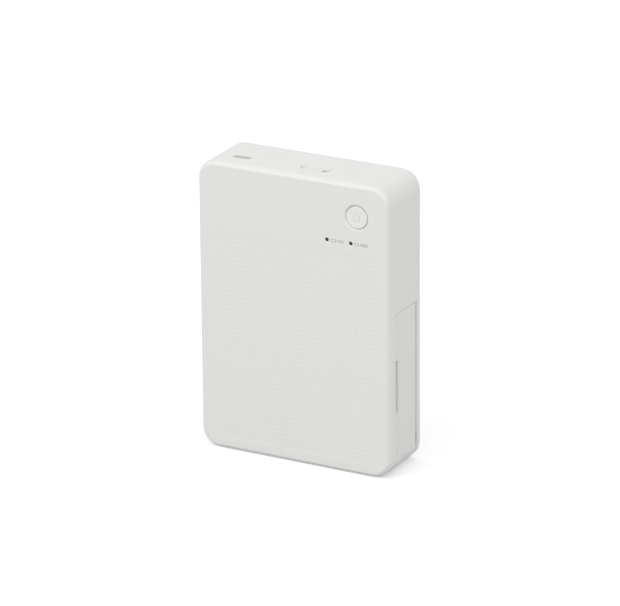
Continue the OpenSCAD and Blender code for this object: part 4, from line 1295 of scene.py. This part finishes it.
class Stage(bpy.types.Operator):
    """Camera, soft light, floor and surround"""

    bl_idname = "printer.stage"
    bl_label = "Stage"

    def execute(self, context):
        view = context.scene.printer_view
        self.camera(context, view)
        self.lamps(view)
        self.surround(context, view)
        self.floor(view)
        context.scene.view_settings.view_transform = "Standard"
        return {"FINISHED"}

    def camera(self, context, view):
        """Camera at the photograph's angle."""
        a, e, r = view.azimuth, view.elevation, view.roll
        back = Vector((math.sin(a) * math.cos(e), -math.cos(a) * math.cos(e), math.sin(e)))
        right = Vector((math.cos(a), math.sin(a), 0))
        up = back.cross(right)
        low, high = CAD_BOX
        target = Vector((0, 0, (low[2] + high[2]) / 2)) + right * view.aside + up * view.above
        turned_right = math.cos(r) * right + math.sin(r) * up
        turned_up = math.cos(r) * up - math.sin(r) * right
        bpy.ops.object.camera_add()
        camera = context.object
        camera.name = "camera"
        camera.matrix_world = Matrix.Translation(target + back * view.distance) @ Matrix(
            (turned_right, turned_up, back)
        ).transposed().to_4x4()
        camera.data.lens = view.focal
        camera.data.sensor_width = 36
        camera.data.clip_end = 20
        context.scene.camera = camera

    def lamps(self, view):
        """Two soft boxes: one high at the front left and a lower one at the front right."""
        for name, place, size, power in (
            ("key_box", Vector((-1.1, -1.5, 1.6)), 1.4, view.key),
            ("fill_box", Vector((1.4, -1.4, 1.0)), 1.2, view.fill),
        ):
            aim = (Vector((0, 0, 0.07)) - place).to_track_quat("-Z", "Y")
            bpy.ops.object.light_add(type="AREA", location=place, rotation=aim.to_euler())
            lamp = bpy.context.object
            lamp.name = name
            lamp.data.shape = "SQUARE"
            lamp.data.size = size
            lamp.data.energy = power

    def surround(self, context, view):
        """Even light all round, which the camera, gloss and glass see as white."""
        world = bpy.data.worlds.new("studio")
        world.use_nodes = True
        context.scene.world = world
        tree = world.node_tree
        strength = add_node(tree, "ShaderNodeMix", {2: view.surround, 3: 1.0}, {0: self.seen(tree)})
        tree.links.new(strength.outputs[0], tree.nodes["Background"].inputs["Strength"])
        tree.nodes["Background"].inputs["Color"].default_value = (1, 1, 1, 1)

    def seen(self, tree):
        """1 for what the camera sees, straight or by gloss or through glass, and 0 for plain light."""
        paths = add_node(tree, "ShaderNodeLightPath")
        gloss = add_node(
            tree, "ShaderNodeMath",
            links={0: paths.outputs["Is Camera Ray"], 1: paths.outputs["Is Glossy Ray"]},
            operation="MAXIMUM",
        )
        both = add_node(
            tree, "ShaderNodeMath",
            links={0: gloss.outputs[0], 1: paths.outputs["Is Transmission Ray"]},
            operation="MAXIMUM",
        )
        return both.outputs[0]

    def floor(self, view):
        """White floor with a soft shadow, that throws little light back up."""
        side = 12
        bpy.ops.mesh.primitive_plane_add(size=side)
        floor = bpy.context.object
        floor.name = "floor"
        bpy.ops.object.mode_set(mode="EDIT")
        bpy.ops.mesh.subdivide(number_cuts=3)
        bpy.ops.object.mode_set(mode="OBJECT")
        material = bpy.data.materials.new("studio_floor")
        material.use_nodes = True
        tree = material.node_tree
        tree.nodes.remove(tree.nodes["Principled BSDF"])
        out = tree.nodes["Material Output"]
        white = add_node(tree, "ShaderNodeBsdfDiffuse", {"Color": opaque((view.floor_seen,) * 3)})
        glow = add_node(tree, "ShaderNodeEmission", {"Strength": view.floor_glow})
        bright = add_node(tree, "ShaderNodeAddShader", links={0: white.outputs[0], 1: glow.outputs[0]})
        grey = add_node(tree, "ShaderNodeBsdfDiffuse", {"Color": opaque((view.floor_bounce,) * 3)})
        mix = add_node(
            tree, "ShaderNodeMixShader",
            links={0: self.seen(tree), 1: grey.outputs[0], 2: bright.outputs[0]},
        )
        tree.links.new(mix.outputs[0], out.inputs["Surface"])
        floor.data.materials.append(material)


class PartFinishes(bpy.types.Operator):
    """Finish of every part that keeps its own shape"""

    bl_idname = "printer.part_finishes"
    bl_label = "Part Finishes"

    def execute(self, context):
        for recipe, names in FINISHES.items():
            for name in names:
                for slot in frame["nodes"][name].material_slots:
                    slot.material = finish(recipe)
        return {"FINISHED"}


OPERATORS = (
    Stage, PartFinishes, FrontCasing, RearCover, CassetteDoor, PowerButton, StatusWindows,
    CassetteBody, FilmAndPaper, PrintEngine, GearTrain, ThermalHead, DriveMotor, Electronics, Fittings,
)


class PrinterPanel(bpy.types.Panel):
    """Lists the printer's steps in the sidebar"""

    bl_idname = "VIEW3D_PT_printer"
    bl_label = "Photo Printer"
    bl_space_type = "VIEW_3D"
    bl_region_type = "UI"
    bl_category = "Printer"

    def draw(self, context):
        for operator in OPERATORS:
            self.layout.operator(operator.bl_idname)
        for group in ("printer_sizes", "printer_colours", "printer_view"):
            values = getattr(context.scene, group)
            for name in values.bl_rna.properties.keys():
                if name not in ("rna_type", "name"):
                    self.layout.prop(values, name)


GROUPS = {"printer_sizes": PrinterSizes, "printer_colours": PrinterColours, "printer_view": PrinterView}


def register():
    for name, group in GROUPS.items():
        bpy.utils.register_class(group)
        setattr(bpy.types.Scene, name, PointerProperty(type=group))
    for operator in OPERATORS:
        bpy.utils.register_class(operator)
    bpy.utils.register_class(PrinterPanel)


def unregister():
    bpy.utils.unregister_class(PrinterPanel)
    for operator in reversed(OPERATORS):
        bpy.utils.unregister_class(operator)
    for name, group in reversed(GROUPS.items()):
        delattr(bpy.types.Scene, name)
        bpy.utils.unregister_class(group)


def main():
    register()
    for operator in OPERATORS:
        area, step = operator.bl_idname.split(".")
        getattr(getattr(bpy.ops, area), step)()
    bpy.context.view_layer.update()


if __name__ == "__main__":
    main()
